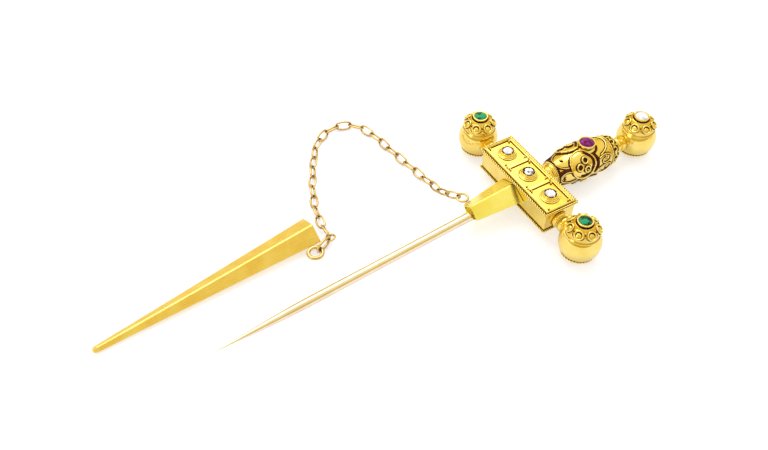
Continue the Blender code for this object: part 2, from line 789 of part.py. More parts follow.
def plan_chain():
    """Every chain piece's name, frame and size, with its hinge: a point and an axis."""
    oval_length, oval_width, oval_wire = OVAL_LINK
    round_radius, round_wire = ROUND_LINK[0] / 2, ROUND_LINK[1]

    # the two special links are placed from the scabbard's eye back to the round link
    eye = scabbard_eye_centre()
    to_eye = Vector((math.cos(OVAL_HEADING), math.sin(OVAL_HEADING), 0.0))
    oval_end = eye - to_eye * (SCABBARD_EYE[0] - linked(oval_wire, SCABBARD_EYE[1]))
    oval_middle = oval_end - to_eye * oval_length / 2
    oval_start = oval_middle - to_eye * oval_length / 2
    round_far = oval_start + to_eye * linked(oval_wire, round_wire)
    round_middle = round_far - to_eye * round_radius
    lay = [TABLE + Vector(point) * MM for point in CHAIN_LAY]
    arrive = level(round_middle - lay[-1])
    path_end = round_middle - arrive * (round_radius - linked(LINK_WIRE, round_wire) / 2)

    # the plain links follow the chain's lay from the socket's eye
    leave = level(lay[0] - socket_eye_centre())
    eye_wire = socket_eye_centre() + leave * SOCKET_EYE[0]
    path_start = eye_wire - leave * linked(LINK_WIRE, SOCKET_EYE[1]) / 2
    places = equal_steps(smooth_path([path_start] + lay + [path_end]), LINK_COUNT)
    length = (places[1] - places[0]).length + linked(LINK_WIRE, LINK_WIRE)

    plan = []
    hinge = (eye_wire, Vector((0, 0, 1)).cross(leave))
    for i in range(LINK_COUNT):
        direction = (places[i + 1] - places[i]).normalized()
        roll = (math.pi / 2 if i % 2 == 0 else 0.0) + LINK_TILT * min(i / 4, 1.0)
        frame = link_frame((places[i] + places[i + 1]) / 2, direction, roll)
        plan.append((f"chain_link_{i + 1:02d}", frame, (length, LINK_WIDTH, LINK_WIRE), hinge))
        hinge = (frame @ Vector((length / 2, 0, 0)), frame.to_3x3() @ Vector((0, 1, 0)))

    frame = link_frame(round_middle, to_eye, math.radians(12))
    plan.append(("round_link", frame, (ROUND_LINK[0], ROUND_LINK[0], round_wire), hinge))
    hinge = (frame @ Vector((round_radius, 0, 0)), frame.to_3x3() @ Vector((0, 1, 0)))
    frame = link_frame(oval_middle, to_eye, math.radians(90))
    plan.append(("oval_link", frame, OVAL_LINK, hinge))
    scabbard_hinge = (oval_end, frame.to_3x3() @ Vector((0, 1, 0)))
    return plan, scabbard_hinge


def hinge_empty(name, hinge, parent):
    """An empty on a hinge, with its Z along the hinge's axis."""
    empty = bpy.data.objects.new(name, None)
    PARTS.objects.link(empty)
    empty.empty_display_size = MM
    empty.parent = parent
    bpy.context.view_layer.update()
    empty.matrix_world = along(hinge[0], hinge[1], up=Vector((0.3, 0.5, 1.0)))
    bpy.context.view_layer.update()
    return empty


def build_chain():
    """The chain's pieces, each hung from the one before it, and the scabbard's hinge."""
    points = ring_points(SOCKET_EYE[0])
    eye = wire_data("socket_eye", points, SOCKET_EYE[1])
    add("socket_eye", eye, GOLD, Matrix.Translation(socket_eye_centre()))

    plan, scabbard_hinge = plan_chain()
    parent = None
    shared = {}
    for name, frame, size, hinge in plan:
        length, width, wire = size
        if size not in shared:
            shared[size] = wire_data(name, oval_points(length, width), wire)
        parent = hinge_empty(name + "_hinge", hinge, parent)
        link = add(name, shared[size], PALE_GOLD, Matrix())
        link.parent = parent
        link.matrix_world = frame
    return hinge_empty("scabbard_hinge", scabbard_hinge, parent)


clear_scene()
PARTS = collection("hat_pin")
CUTTERS = collection("cutters")
GOLD = metal("yellow_gold", (0.95, 0.68, 0.2), 0.22)
SATIN_GOLD = metal("satin_gold", (0.86, 0.64, 0.2), 0.38)
PALE_GOLD = metal("pale_gold", (0.95, 0.78, 0.5), 0.22)
EMERALD = jewel("emerald", (0.0, 0.42, 0.26))
DIAMOND = jewel("diamond", (0.95, 0.95, 0.97))
RUBY = jewel("ruby", (0.6, 0.02, 0.25))

plate_top = build_guard()
for place, side in (("right", -1), ("centre", 0), ("left", 1)):
    build_setting(
        f"guard_bezel_{place}",
        f"guard_stone_{place}",
        on_axis(0, side * PANEL_SPACING, plate_top + SEAT),
        GUARD_STONE,
        DIAMOND,
        collared=True,
    )
for place, side in (("right", -1), ("left", 1)):
    build_side_neck(f"{place}_neck", side)
    build_ball(
        f"{place}_ball",
        on_axis(0, side * BALL_REACH),
        Vector((0, -side, 0)),
        f"{place}_emerald",
        f"{place}_bezel",
        EMERALD,
    )
build_grip_neck()
build_grip()
build_pommel_neck()
build_ball(
    "pommel_ball",
    on_axis(POMMEL_REACH),
    Vector((-1, 0, 0)),
    "pommel_diamond",
    "pommel_bezel",
    DIAMOND,
)
build_blade()
scabbard_parent = build_chain()
build_scabbard()
for piece in ("scabbard_shell", "scabbard_tip", "scabbard_eye"):
    world = bpy.data.objects[piece].matrix_world.copy()
    bpy.data.objects[piece].parent = scabbard_parent
    bpy.data.objects[piece].matrix_world = world
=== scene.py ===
"""Looks of a sword-shaped gold hat pin with a chained scabbard.

Lengths are in metres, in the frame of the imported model: +X runs to the pommel, +Y to the
chain's side and +Z out of the jewelled front. The fine wirework is added here, and rides on the
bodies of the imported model.
"""

import json
import math

import bmesh
import bpy
from mathutils import Matrix, Vector

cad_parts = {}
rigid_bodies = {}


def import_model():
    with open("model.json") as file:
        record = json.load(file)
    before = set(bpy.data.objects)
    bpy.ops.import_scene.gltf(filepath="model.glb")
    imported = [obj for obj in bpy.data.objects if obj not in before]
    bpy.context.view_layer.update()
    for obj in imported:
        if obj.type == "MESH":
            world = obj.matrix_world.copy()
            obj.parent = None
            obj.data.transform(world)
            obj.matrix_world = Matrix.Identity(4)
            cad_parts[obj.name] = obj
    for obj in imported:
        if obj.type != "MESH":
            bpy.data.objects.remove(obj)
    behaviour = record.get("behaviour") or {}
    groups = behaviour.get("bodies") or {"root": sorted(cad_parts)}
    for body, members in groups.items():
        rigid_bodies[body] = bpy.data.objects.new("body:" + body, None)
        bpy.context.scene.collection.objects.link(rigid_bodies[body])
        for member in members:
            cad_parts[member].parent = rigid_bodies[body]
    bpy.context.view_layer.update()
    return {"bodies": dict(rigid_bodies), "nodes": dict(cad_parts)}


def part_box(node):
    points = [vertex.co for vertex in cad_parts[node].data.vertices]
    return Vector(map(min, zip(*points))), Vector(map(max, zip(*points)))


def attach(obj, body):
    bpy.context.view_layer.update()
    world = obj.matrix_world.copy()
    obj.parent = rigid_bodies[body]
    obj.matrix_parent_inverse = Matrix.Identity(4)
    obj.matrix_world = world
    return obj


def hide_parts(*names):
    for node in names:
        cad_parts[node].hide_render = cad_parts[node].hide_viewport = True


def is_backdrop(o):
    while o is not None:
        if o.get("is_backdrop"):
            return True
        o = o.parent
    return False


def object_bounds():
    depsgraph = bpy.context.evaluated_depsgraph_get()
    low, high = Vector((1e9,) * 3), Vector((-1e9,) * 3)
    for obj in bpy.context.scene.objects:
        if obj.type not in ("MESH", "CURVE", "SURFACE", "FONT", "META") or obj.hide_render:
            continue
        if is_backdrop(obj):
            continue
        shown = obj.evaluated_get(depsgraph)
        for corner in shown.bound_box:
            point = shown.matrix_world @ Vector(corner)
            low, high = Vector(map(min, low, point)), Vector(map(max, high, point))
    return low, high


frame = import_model()

MM = 0.001
UP = Vector((0, 0, 1))
FULL_TURN = 2 * math.pi


def reach(node):
    low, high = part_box(node)
    return Vector(low), Vector(high)


def middle(node):
    low, high = reach(node)
    return (low + high) / 2


AXIS = Vector((0, middle("grip_neck").y, middle("grip_neck").z))
CAMERA_SPOT = Vector((-62.27, -64.26, 89.95)) * MM
CAMERA_SIDE = Vector((CAMERA_SPOT.x, CAMERA_SPOT.y, 0)).normalized()
CAMERA_DOWN = math.radians(48.28)  # slope of the view below level
CAMERA_HEADING = math.radians(30.26)  # turn of the view from +Y towards +X


def on_axis(x, y=0.0, z=0.0):
    """A point given from the sword's axis."""
    return Vector((x, AXIS.y + y, AXIS.z + z))


# Materials


class Nodes:
    """A material's node tree, with short calls for its nodes and links."""

    def __init__(self, name):
        self.material = bpy.data.materials.new(name)
        self.material.use_nodes = True
        self.tree = self.material.node_tree
        self.shader = self.tree.nodes["Principled BSDF"]

    def add(self, kind, inputs=None, **settings):
        node = self.tree.nodes.new("ShaderNode" + kind)
        for key, value in settings.items():
            setattr(node, key, value)
        for key, value in (inputs or {}).items():
            self.set(node.inputs[key], value)
        return node

    def set(self, socket, value):
        if isinstance(value, bpy.types.NodeSocket):
            self.tree.links.new(value, socket)
        else:
            socket.default_value = value

    def surface(self, **inputs):
        for key, value in inputs.items():
            self.set(self.shader.inputs[key.replace("_", " ")], value)

    def noise(self, scale, stretch=None, detail=3.0, turn=(0, 0, 0)):
        spot = self.add("TexCoord").outputs["Object"]
        if stretch:
            inputs = {"Vector": spot, "Scale": stretch, "Rotation": turn}
            spot = self.add("Mapping", inputs).outputs["Vector"]
        inputs = {"Vector": spot, "Scale": scale, "Detail": detail}
        return self.add("TexNoise", inputs).outputs["Fac"]

    def ramp(self, factor, stops):
        node = self.add("ValToRGB", {"Fac": factor})
        elements = node.color_ramp.elements
        while len(elements) < len(stops):
            elements.new(0.5)
        for element, (position, colour) in zip(elements, stops):
            element.position = position
            element.color = (*colour, 1.0)
        return node.outputs["Color"]

    def mix(self, factor, a, b, blend="MIX"):
        node = self.add("Mix", data_type="RGBA", blend_type=blend)
        self.set(node.inputs["Factor"], factor)
        self.set(node.inputs[6], a)
        self.set(node.inputs[7], b)
        return node.outputs[2]

    def bump(self, height, strength, distance):
        inputs = {"Height": height, "Strength": strength, "Distance": distance}
        return self.add("Bump", inputs).outputs["Normal"]


def grey(value):
    return (value, value, value)


def gold(name, tones, roughness, hollows, coat=0.3, metal=1.0, brush=None):
    """Gold whose tone drifts a little and which is darker and duller in its hollows: patina and painted
    shade.

    tones are its light, deep and hollow tones; the hollow tone is patina and painted shade.
    hollows gives how wide a hollow still darkens, and how open it is where it turns dark. brush
    gives the turn and the depth of brush marks, and the colour of a painted highlight on its edges.
    """
    light, deep, hollow = tones
    width, dark_at = hollows
    made = Nodes(name)
    drift = made.ramp(made.noise(420.0), [(0.35, grey(0.0)), (0.7, grey(1.0))])
    colour = made.mix(drift, (*deep, 1.0), (*light, 1.0))
    if brush:
        turn, depth, edge = brush
        marks = made.noise(1.0, (260.0, 9000.0, 9000.0), 4.0, turn)
        made.surface(Normal=made.bump(marks, depth, 0.02 * MM))
        worn = made.ramp(marks, [(0.3, grey(roughness - 0.07)), (0.7, grey(roughness + 0.1))])
        # Painted highlight: edges found by the Bevel node get a paler colour, and a lower roughness for
        # their polish.
        rounded = made.add("Bevel", {"Radius": 0.12 * MM}, samples=6).outputs["Normal"]
        true = made.add("NewGeometry").outputs["True Normal"]
        straight = made.add("VectorMath", {0: rounded, 1: true}, operation="DOT_PRODUCT")
        on_edge = made.ramp(straight.outputs["Value"], [(0.9, grey(1.0)), (0.985, grey(0.0))])
        colour = made.mix(on_edge, colour, (*edge, 1.0))
        worn = made.mix(on_edge, worn, (*grey(0.22), 1.0))
    else:
        fine = made.noise(2600.0, detail=2.0)
        made.surface(Normal=made.bump(fine, 0.1, 0.012 * MM))
        stops = [(0.3, grey(roughness - 0.04)), (0.75, grey(roughness + 0.06))]
        worn = made.ramp(made.noise(900.0), stops)
    # Patina and painted shade: ambient occlusion turns the hollows brown, duller and with less coat.
    shade = made.add("AmbientOcclusion", {"Distance": width}, samples=6).outputs["AO"]
    unshaded_clean = made.ramp(shade, [(dark_at - 0.22, grey(0.0)), (dark_at + 0.22, grey(1.0))])
    colour = made.mix(unshaded_clean, (*hollow, 1.0), colour)
    rough = made.mix(unshaded_clean, (*grey(0.55), 1.0), worn)
    polish = made.ramp(unshaded_clean, [(0.2, grey(0.0)), (0.9, grey(coat))])
    made.surface(Base_Color=colour, Metallic=metal, Roughness=rough)
    made.surface(Coat_Weight=polish, Coat_IOR=1.8, Coat_Roughness=0.12)
    return made.material


def painted_shade_surface(name, light, deep):
    """Dark brown painted shade, for the dark pieces laid in the gaps, hollows and undersides of the
    wirework.
    """
    made = Nodes(name)
    tone = made.ramp(made.noise(1400.0), [(0.35, deep), (0.7, light)])
    made.surface(Base_Color=tone, Metallic=0.2, Roughness=0.6, IOR=1.25)
    return made.material


def gem(name, light, deep, glow, scale):
    """A cut stone with painted reflections: its facets and the reflections seen in it are painted as
    patches of light and dark tone, and it glows a little as painted light.
    """
    made = Nodes(name)
    spot = made.add("TexCoord").outputs["Object"]
    facet = made.add("NewGeometry").outputs["True Normal"]
    steps = made.add("VectorMath", {0: facet, 1: grey(0.04)}, operation="SNAP").outputs["Vector"]
    chance = made.add("TexWhiteNoise", {"Vector": steps}).outputs["Value"]
    patch = made.add("TexVoronoi", {"Vector": spot, "Scale": scale}).outputs["Color"]
    patch = made.add("SeparateXYZ", {"Vector": patch}).outputs["X"]
    chance = made.add("Math", {0: chance, 1: 0.4}, operation="MULTIPLY").outputs["Value"]
    total = made.add("Math", {0: patch, 1: chance}, operation="ADD").outputs["Value"]
    colour = made.ramp(total, [(0.3, deep), (0.9, light)])
    made.surface(Base_Color=colour, Roughness=0.06, IOR=1.4)
    # Painted light: the stone glows in its own colour, though it is no lamp.
    made.surface(Emission_Color=colour, Emission_Strength=glow)
    return made.material


# The brown of the patina and painted shade in the gold's hollows.
PATINA_SHADE_BROWN = (0.15, 0.026, 0.004)
BRUSH_TURN = (0.0, 0.0, -math.radians(5.8))  # the marks run along the scabbard
MATERIALS = {
    "gold": gold(
        "polished_gold",
        tones=((1.0, 0.8, 0.22), (0.95, 0.69, 0.12), PATINA_SHADE_BROWN),
        roughness=0.17,
        hollows=(0.5 * MM, 0.43),
    ),
    "shell": gold(
        "ball_gold",
        tones=((1.0, 0.79, 0.23), (0.94, 0.68, 0.13), PATINA_SHADE_BROWN),
        roughness=0.14,
        hollows=(0.5 * MM, 0.43),
    ),
    # A darker, more orange copy of the gold: painted shade on the ball collars under the gallery rings;
    # it also tones the guard's top plate.
    "amber": gold(
        "amber_gold",
        tones=((0.93, 0.67, 0.13), (0.82, 0.53, 0.07), PATINA_SHADE_BROWN),
        roughness=0.17,
        hollows=(0.5 * MM, 0.4),
    ),
    # A paler copy of the polished gold: a painted highlight on the raised wires.
    "wire": gold(
        "wire_gold",
        tones=((1.0, 0.85, 0.32), (0.97, 0.75, 0.18), (0.12, 0.024, 0.004)),
        roughness=0.18,
        hollows=(0.3 * MM, 0.4),
    ),
    # Painted shade: the dark brown of the pieces that stand for shade in the wirework.
    "painted_shade": painted_shade_surface("painted_shade_brown", (0.13, 0.022, 0.007), (0.035, 0.006, 0.003)),
    "socket": gold(
        "socket_gold",
        tones=((1.0, 0.93, 0.25), (1.0, 0.84, 0.15), (0.3, 0.12, 0.02)),
        roughness=0.2,
        hollows=(0.3 * MM, 0.3),
        metal=0.8,
    ),
    "pale": gold(
        "pale_gold",
        tones=((0.97, 0.85, 0.68), (0.88, 0.73, 0.52), (0.2, 0.08, 0.03)),
        roughness=0.16,
        hollows=(0.25 * MM, 0.3),
    ),
    # Darker than the polished gold and near black in its hollows: painted shade, the dark contact
    # shadows of the links.
    "chain": gold(
        "chain_gold",
        tones=((0.86, 0.64, 0.3), (0.62, 0.41, 0.14), (0.025, 0.008, 0.003)),
        roughness=0.25,
        hollows=(0.5 * MM, 0.6),
        coat=0.35,
    ),
    "satin": gold(
        "satin_gold",
        tones=((1.0, 0.78, 0.2), (0.94, 0.66, 0.12), (0.3, 0.14, 0.03)),
        roughness=0.33,
        hollows=(0.3 * MM, 0.3),
        metal=0.7,
        # The last tone is the painted highlight on the edges.
        brush=(BRUSH_TURN, 0.06, (1.0, 0.97, 0.6)),
    ),
    "emerald": gem("emerald", (0.01, 0.34, 0.14), (0.0, 0.014, 0.007), glow=0.1, scale=1500.0),
    "diamond": gem("diamond", (0.95, 0.95, 0.92), (0.05, 0.05, 0.045), glow=0.3, scale=2200.0),
    "milky": gem("milky_diamond", (0.98, 0.95, 0.95), (0.62, 0.57, 0.58), glow=0.2, scale=2000.0),
    "ruby": gem("ruby", (0.3, 0.005, 0.2), (0.014, 0.0, 0.01), glow=0.06, scale=2300.0),
}


# Building pieces


def place(name, data, material, body, stands_for=()):
    obj = bpy.data.objects.new(name, data)
    bpy.context.scene.collection.objects.link(obj)
    data.materials.append(MATERIALS[material])
    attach(obj, body)
    if stands_for:
        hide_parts(*stands_for)
    return obj


def solid(name, model, material, body, stands_for=(), sharp=35.0):
    """Turns a bmesh into a piece, smooth except at its sharp edges."""
    bmesh.ops.recalc_face_normals(model, faces=model.faces)
    mesh = bpy.data.meshes.new(name)
    model.to_mesh(mesh)
    model.free()
    mesh.polygons.foreach_set("use_smooth", [sharp > 0.0] * len(mesh.polygons))
    if sharp:
        mesh.set_sharp_from_angle(angle=math.radians(sharp))
    return place(name, mesh, material, body, stands_for)


def skin(model, rows):
    """Makes the faces between each closed row of points and the next."""
    for low, high in zip(rows, rows[1:]):
        for k in range(len(low)):
            after = (k + 1) % len(low)
            model.faces.new((low[k], low[after], high[after], high[k]))


def fan(model, row, top):
    """Makes the faces from a closed row of points to one point."""
    for k in range(len(row)):
        model.faces.new((row[k], row[(k + 1) % len(row)], top))


def along(origin, direction):
    """The frame at origin whose Z runs along direction."""
    z = direction.normalized()
    side = UP if abs(z.z) < 0.9 else Vector((1, 0, 0))
    x = side.cross(z).normalized()
    made = Matrix((x, z.cross(x), z)).transposed().to_4x4()
    made.translation = origin
    return made


def ring(matrix, radius, height=0.0, steps=24):
    """Points of a circle about the Z axis of a frame."""
    turns = [FULL_TURN * k / steps for k in range(steps)]
    return [matrix @ Vector((radius * math.cos(a), radius * math.sin(a), height)) for a in turns]


def circle(centre, axis, radius, steps=24):
    return ring(along(centre, axis), radius, 0.0, steps)


def lathe(name, profile, material, body, matrix, stands_for=(), steps=64, sharp=35.0):
    """A turned piece from (radius, height) points; a profile that returns to its start is a ring."""
    closed = profile[0] == profile[-1]
    points = profile[:-1] if closed else profile
    model = bmesh.new()
    rings = []
    for radius, height in points:
        on_centre = radius < 1e-7
        spots = ring(matrix, radius, height, 1 if on_centre else steps)
        rings.append([model.verts.new(spot) for spot in spots])
    pairs = list(zip(rings, rings[1:])) + ([(rings[-1], rings[0])] if closed else [])
    for low, high in pairs:
        for k in range(steps):
            corners = [low[k % len(low)], low[(k + 1) % len(low)]]
            corners += [high[(k + 1) % len(high)], high[k % len(high)]]
            unique = list(dict.fromkeys(corners))
            if len(unique) > 2:
                model.faces.new(unique)
    return solid(name, model, material, body, stands_for, sharp)


def wires(name, paths, radius, material, body, stands_for=(), closed=True, sides=3):
    """Round wires along paths of points, as one piece."""
    curve = bpy.data.curves.new(name, "CURVE")
    curve.dimensions = "3D"
    curve.bevel_depth = radius
    curve.bevel_resolution = sides
    curve.use_fill_caps = True
    for path in paths:
        spline = curve.splines.new("POLY")
        spline.points.add(len(path) - 1)
        for point, spot in zip(spline.points, path):
            point.co = (*spot, 1.0)
        spline.use_cyclic_u = closed
        spline.use_smooth = True
    return place(name, curve, material, body, stands_for)


def granules(name, spots, radius, material, body):
    """Small gold balls, as one piece."""
    model = bmesh.new()
    for spot in spots:
        bmesh.ops.create_icosphere(
            model, subdivisions=2, radius=radius, matrix=Matrix.Translation(spot)
        )
    return solid(name, model, material, body, sharp=80.0)


def domes(name, spots, radius, height, material, body):
    """Low round caps on a surface, from (point, normal) pairs, as one piece."""
    model = bmesh.new()
    for point, normal in spots:
        matrix = along(point, normal)
        rings = []
        for i in range(4):
            rise = math.pi / 2 * i / 4
            spots_round = ring(matrix, radius * math.cos(rise), height * math.sin(rise), 16)
            rings.append([model.verts.new(spot) for spot in spots_round])
        top = model.verts.new(matrix @ Vector((0, 0, height)))
        skin(model, rings)
        fan(model, rings[-1], top)
        model.faces.new(rings[0][::-1])
    return solid(name, model, material, body)


def spread(path, closed, count):
    """Points at equal distances along a path."""
    loop = path + [path[0]] if closed else path
    lengths = [0.0]
    for a, b in zip(loop, loop[1:]):
        lengths.append(lengths[-1] + (b - a).length)
    spots, k = [], 0
    last = count if closed else count - 1
    for i in range(count):
        target = lengths[-1] * i / last
        while k < len(loop) - 2 and lengths[k + 1] < target:
            k += 1
        share = (target - lengths[k]) / (lengths[k + 1] - lengths[k])
        spots.append(loop[k].lerp(loop[k + 1], min(share, 1.0)))
    return spots, lengths[-1]


def rope(path, outward, radius, closed=True, turn=4.2, steps=9):
    """The two strands of a twisted wire that follows a path; outward gives the side up."""
    _, length = spread(path, closed, 2)
    turns = max(round(length / (turn * radius)), 1)
    spots, _ = spread(path, closed, turns * steps)
    strands = []
    for start in (0.0, math.pi):
        strand = []
        for i, spot in enumerate(spots):
            after = spots[(i + 1) % len(spots)] if closed else spots[min(i + 1, len(spots) - 1)]
            before = spots[i - 1] if closed or i else spots[0]
            tangent = (after - before).normalized()
            out = outward(spot)
            out = (out - tangent * out.dot(tangent)).normalized()
            angle = start + FULL_TURN * i / steps
            offset = out * math.cos(angle) + tangent.cross(out) * math.sin(angle)
            strand.append(spot + offset * radius * 0.5)
        strands.append(strand)
    return strands


def rectangle(centre, half_x, half_y, corner, steps=4):
    """A rounded rectangle about a point, level."""
    path = []
    for quarter, (sx, sy) in enumerate(((1, 1), (-1, 1), (-1, -1), (1, -1))):
        for i in range(steps + 1):
            angle = math.pi / 2 * (quarter + i / steps)
            x = sx * (half_x - corner) + corner * math.cos(angle)
            y = sy * (half_y - corner) + corner * math.sin(angle)
            path.append(centre + Vector((x, y, 0)))
    return path


def refine(node, material, width):
    """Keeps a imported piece's shape, rounds its edges a little and gives it its finish."""
    obj = frame["nodes"][node]
    weld = obj.modifiers.new("Weld", "WELD")
    weld.merge_threshold = 0.0005 * MM
    bevel = obj.modifiers.new("Edges", "BEVEL")
    bevel.width = width
    bevel.segments = 3
    bevel.limit_method = "ANGLE"
    bevel.angle_limit = math.radians(28)
    for slot in obj.material_slots:
        slot.material = MATERIALS[material]


# Stones and their settings


def cut_stone(name, node, material, share_of_width):
    """A round stone with a table, two rows of crown facets and a shallow back."""
    low, high = reach(node)
    centre = (low + high) / 2
    radius = share_of_width * (high.x - low.x) / 2
    height = high.z - low.z
    girdle = low.z + 0.52 * height
    # Each row: its share of the radius, its level, its corners and their shift in steps
    table = (0.56, high.z, 8, 0.0)
    star = (0.83, low.z + 0.82 * height, 8, 0.5)
    edge = ((1.0, girdle, 16, 0.0), (1.0, girdle - 0.04 * MM, 16, 0.0))
    back = (0.5, low.z, 8, 0.0)
    model = bmesh.new()
    for share, level, count, shift in (table, star, *edge, back):
        for k in range(count):
            angle = FULL_TURN * (k + shift) / count
            x = centre.x + share * radius * math.cos(angle)
            y = centre.y + share * radius * math.sin(angle)
            model.verts.new((x, y, level))
    bmesh.ops.convex_hull(model, input=model.verts)
    return solid(name, model, material, "hilt", (node,), sharp=0.0)


def setting(name, node, cup, opening, collar=False):
    """A cup of sheet gold with a thin rim, on a foot or on a stepped collar.

    Returns the middle of its base, its foot's radius and its rim's height.
    """
    low, high = reach(node)
    spot = (low + high) / 2
    base = Vector((spot.x, spot.y, low.z))
    foot = (high.x - low.x) / 2
    rim = high.z - low.z
    if collar:
        profile = [(foot - 0.2 * MM, 0.0), (foot - 0.2 * MM, 0.1 * MM)]
        profile += [(cup + 0.1 * MM, 0.18 * MM), (cup + 0.06 * MM, 0.26 * MM), (cup, 0.3 * MM)]
    else:
        profile = [(foot, 0.0), (foot, 0.08 * MM), (cup - 0.2 * MM, 0.3 * MM)]
        profile += [(cup - 0.22 * MM, 0.5 * rim)]
    profile += [(cup, rim - 0.2 * MM), (cup, rim - 0.05 * MM), (cup - 0.05 * MM, rim)]
    profile += [(opening + 0.05 * MM, rim), (opening, rim - 0.04 * MM)]
    profile += [(opening, rim - 0.3 * MM), (0.6 * cup, rim - 0.5 * MM), (0.6 * cup, 0.0)]
    matrix = Matrix.Translation(base)
    lathe(name, profile + [profile[0]], "wire", "hilt", matrix, (node,), steps=56)
    return base, foot, rim


# Balls


BALL_STEPS = 72
# Where the band of painted shade behind the foot rope lies.
FOOT_SHADE = (123, 134)  # polar angles in degrees, from the top
FOOT_ROPE = math.radians(128.5)
BASE_WIRE = math.radians(53.5)
COLLAR = [(2.36, 1.93), (2.44, 2.12), (2.43, 2.36), (2.34, 2.66), (2.16, 2.96), (1.9, 3.27)]
COLLAR += [(1.62, 3.56), (1.42, 3.75), (1.32, 3.8), (1.25, 3.75), (1.25, 2.4), (2.1, 1.8)]
GALLERY_TILT = math.radians(47)
GALLERY_RADIUS = 2.05  # in mm, at the middle of its face
GALLERY_RISE = 3.12  # in mm over the ball's centre
GALLERY_RINGS = 7
GALLERY_START = {"right": 4, "left": 14, "pommel": 48}  # azimuth of the first ring, in degrees


def gallery_point(centre, azimuth, slope, lift):
    """A point on the gallery's face, in mm down its slope and out of it, and where it faces."""
    tilt = GALLERY_TILT - slope * 0.35
    level = Vector((math.cos(azimuth), math.sin(azimuth), 0))
    out = level * math.cos(tilt) + UP * math.sin(tilt)
    down = level * math.sin(tilt) - UP * math.cos(tilt)
    on_face = centre + level * GALLERY_RADIUS * MM + UP * GALLERY_RISE * MM
    return on_face + down * slope * MM + out * lift * MM, out


def gallery(side, centre):
    """The rings, scallops and grains on the raised collar under a ball's crown, with painted shade: dark
    discs in the rings and dark spots between them.
    """
    step = FULL_TURN / GALLERY_RINGS
    rings, wells, caps, beads, gaps, scallops = [], [], [], [], [], []
    for k in range(GALLERY_RINGS):
        azimuth = math.radians(GALLERY_START[side]) + k * step
        between = azimuth + step / 2
        rings.append(circle(*gallery_point(centre, azimuth, 0.0, 0.1), 0.61 * MM))
        wells.append(gallery_point(centre, azimuth, -0.02, 0.0))
        caps.append(gallery_point(centre, azimuth, 0.17, 0.02))
        beads.append(gallery_point(centre, between, -0.42, 0.1)[0])
        gaps.append(gallery_point(centre, between, -0.22, -0.02))
        arch = []
        for i in range(15):
            share = i / 14
            slope = 0.25 + 0.5 * math.sin(math.pi * share) ** 0.6
            arch.append(gallery_point(centre, azimuth + step * (share - 0.5), slope, 0.06)[0])
        scallops.append(arch)
    wires(f"{side}_ball_rings", rings, 0.12 * MM, "wire", "hilt")
    # Painted shade: dark discs under the rings and dark spots between them.
    domes(f"{side}_ball_wells", wells, 0.56 * MM, 0.04 * MM, "painted_shade", "hilt")
    domes(f"{side}_ball_caps", caps, 0.47 * MM, 0.13 * MM, "shell", "hilt")
    domes(f"{side}_ball_gaps", gaps, 0.2 * MM, 0.05 * MM, "painted_shade", "hilt")
    wires(f"{side}_ball_scallops", scallops, 0.08 * MM, "wire", "hilt", closed=False)
    granules(f"{side}_ball_beads", beads, 0.12 * MM, "wire", "hilt")


def ball(side):
    """A hollow gold ball with a ringed collar under its crown and a rope round its foot."""
    node = f"{side}_ball"
    low, high = reach(node)
    radius = (high.y - low.y) / 2 if side == "pommel" else (high.x - low.x) / 2
    crown_low, crown_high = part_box(f"{side}_bezel")
    across, beside, _ = ((a + b) / 2 for a, b in zip(crown_low, crown_high))
    centre = Vector((across, beside, AXIS.z))
    shift = Matrix.Translation(centre)

    def row(polar, lift):
        """A level ring of points round the ball."""
        spots = []
        for k in range(BALL_STEPS):
            azimuth = FULL_TURN * k / BALL_STEPS
            out = math.sin(polar)
            way = Vector((out * math.cos(azimuth), out * math.sin(azimuth), math.cos(polar)))
            spots.append(centre + way * (radius + lift))
        return spots

    def band(start, end, count, size):
        """The ball's outline between two polar angles, at a distance from its centre."""
        polars = [start + (end - start) * i / count for i in range(count + 1)]
        return [(size * math.sin(polar), size * math.cos(polar)) for polar in polars]

    top = math.acos(min((crown_low[2] - centre.z) / radius, 1.0))
    foot = math.acos((low.z - centre.z) / radius)
    profile = [(0.0, radius * math.cos(top))] + band(top, foot, 40, radius)
    profile.append((0.0, radius * math.cos(foot)))
    lathe(f"{side}_ball_shell", profile, "shell", "hilt", shift, (node,), BALL_STEPS)
    collar = [(r * MM, h * MM) for r, h in COLLAR]
    name = f"{side}_gallery"
    # The collar's darker amber gold is painted shade under the rings.
    lathe(name, collar + [collar[0]], "amber", "hilt", shift, (), BALL_STEPS, 50.0)
    # A dark ring of painted shade where the collar meets the crown's cup.
    gap = circle(centre + UP * 3.77 * MM, UP, 1.24 * MM, 56)
    wires(f"{side}_gap", [gap], 0.065 * MM, "painted_shade", "hilt")
    # A dark band of painted shade behind the rope round the ball's foot.
    start, end = (math.radians(angle) for angle in FOOT_SHADE)
    outer = band(start, end, 8, radius + 0.02 * MM)
    inner = [(r * 0.98, h * 0.98) for r, h in reversed(outer)]
    name = f"{side}_ball_foot_shade"
    lathe(name, outer + inner + [outer[0]], "painted_shade", "hilt", shift, (), BALL_STEPS)
    gallery(side, centre)
    wires(f"{side}_ball_base_wire", [row(BASE_WIRE, 0.03 * MM)], 0.07 * MM, "wire", "hilt")
    strands = rope(row(FOOT_ROPE, 0.06 * MM), lambda point: point - centre, 0.2 * MM)
    wires(f"{side}_ball_foot_rope", strands, 0.095 * MM, "wire", "hilt")

    setting(f"{side}_crown_cup", f"{side}_bezel", 1.18 * MM, 0.96 * MM)
    stone = "pommel_diamond" if side == "pommel" else f"{side}_emerald"
    kind = "milky" if side == "pommel" else "emerald"
    cut_stone(f"{side}_crown_stone", stone, kind, 0.99)


# Guard


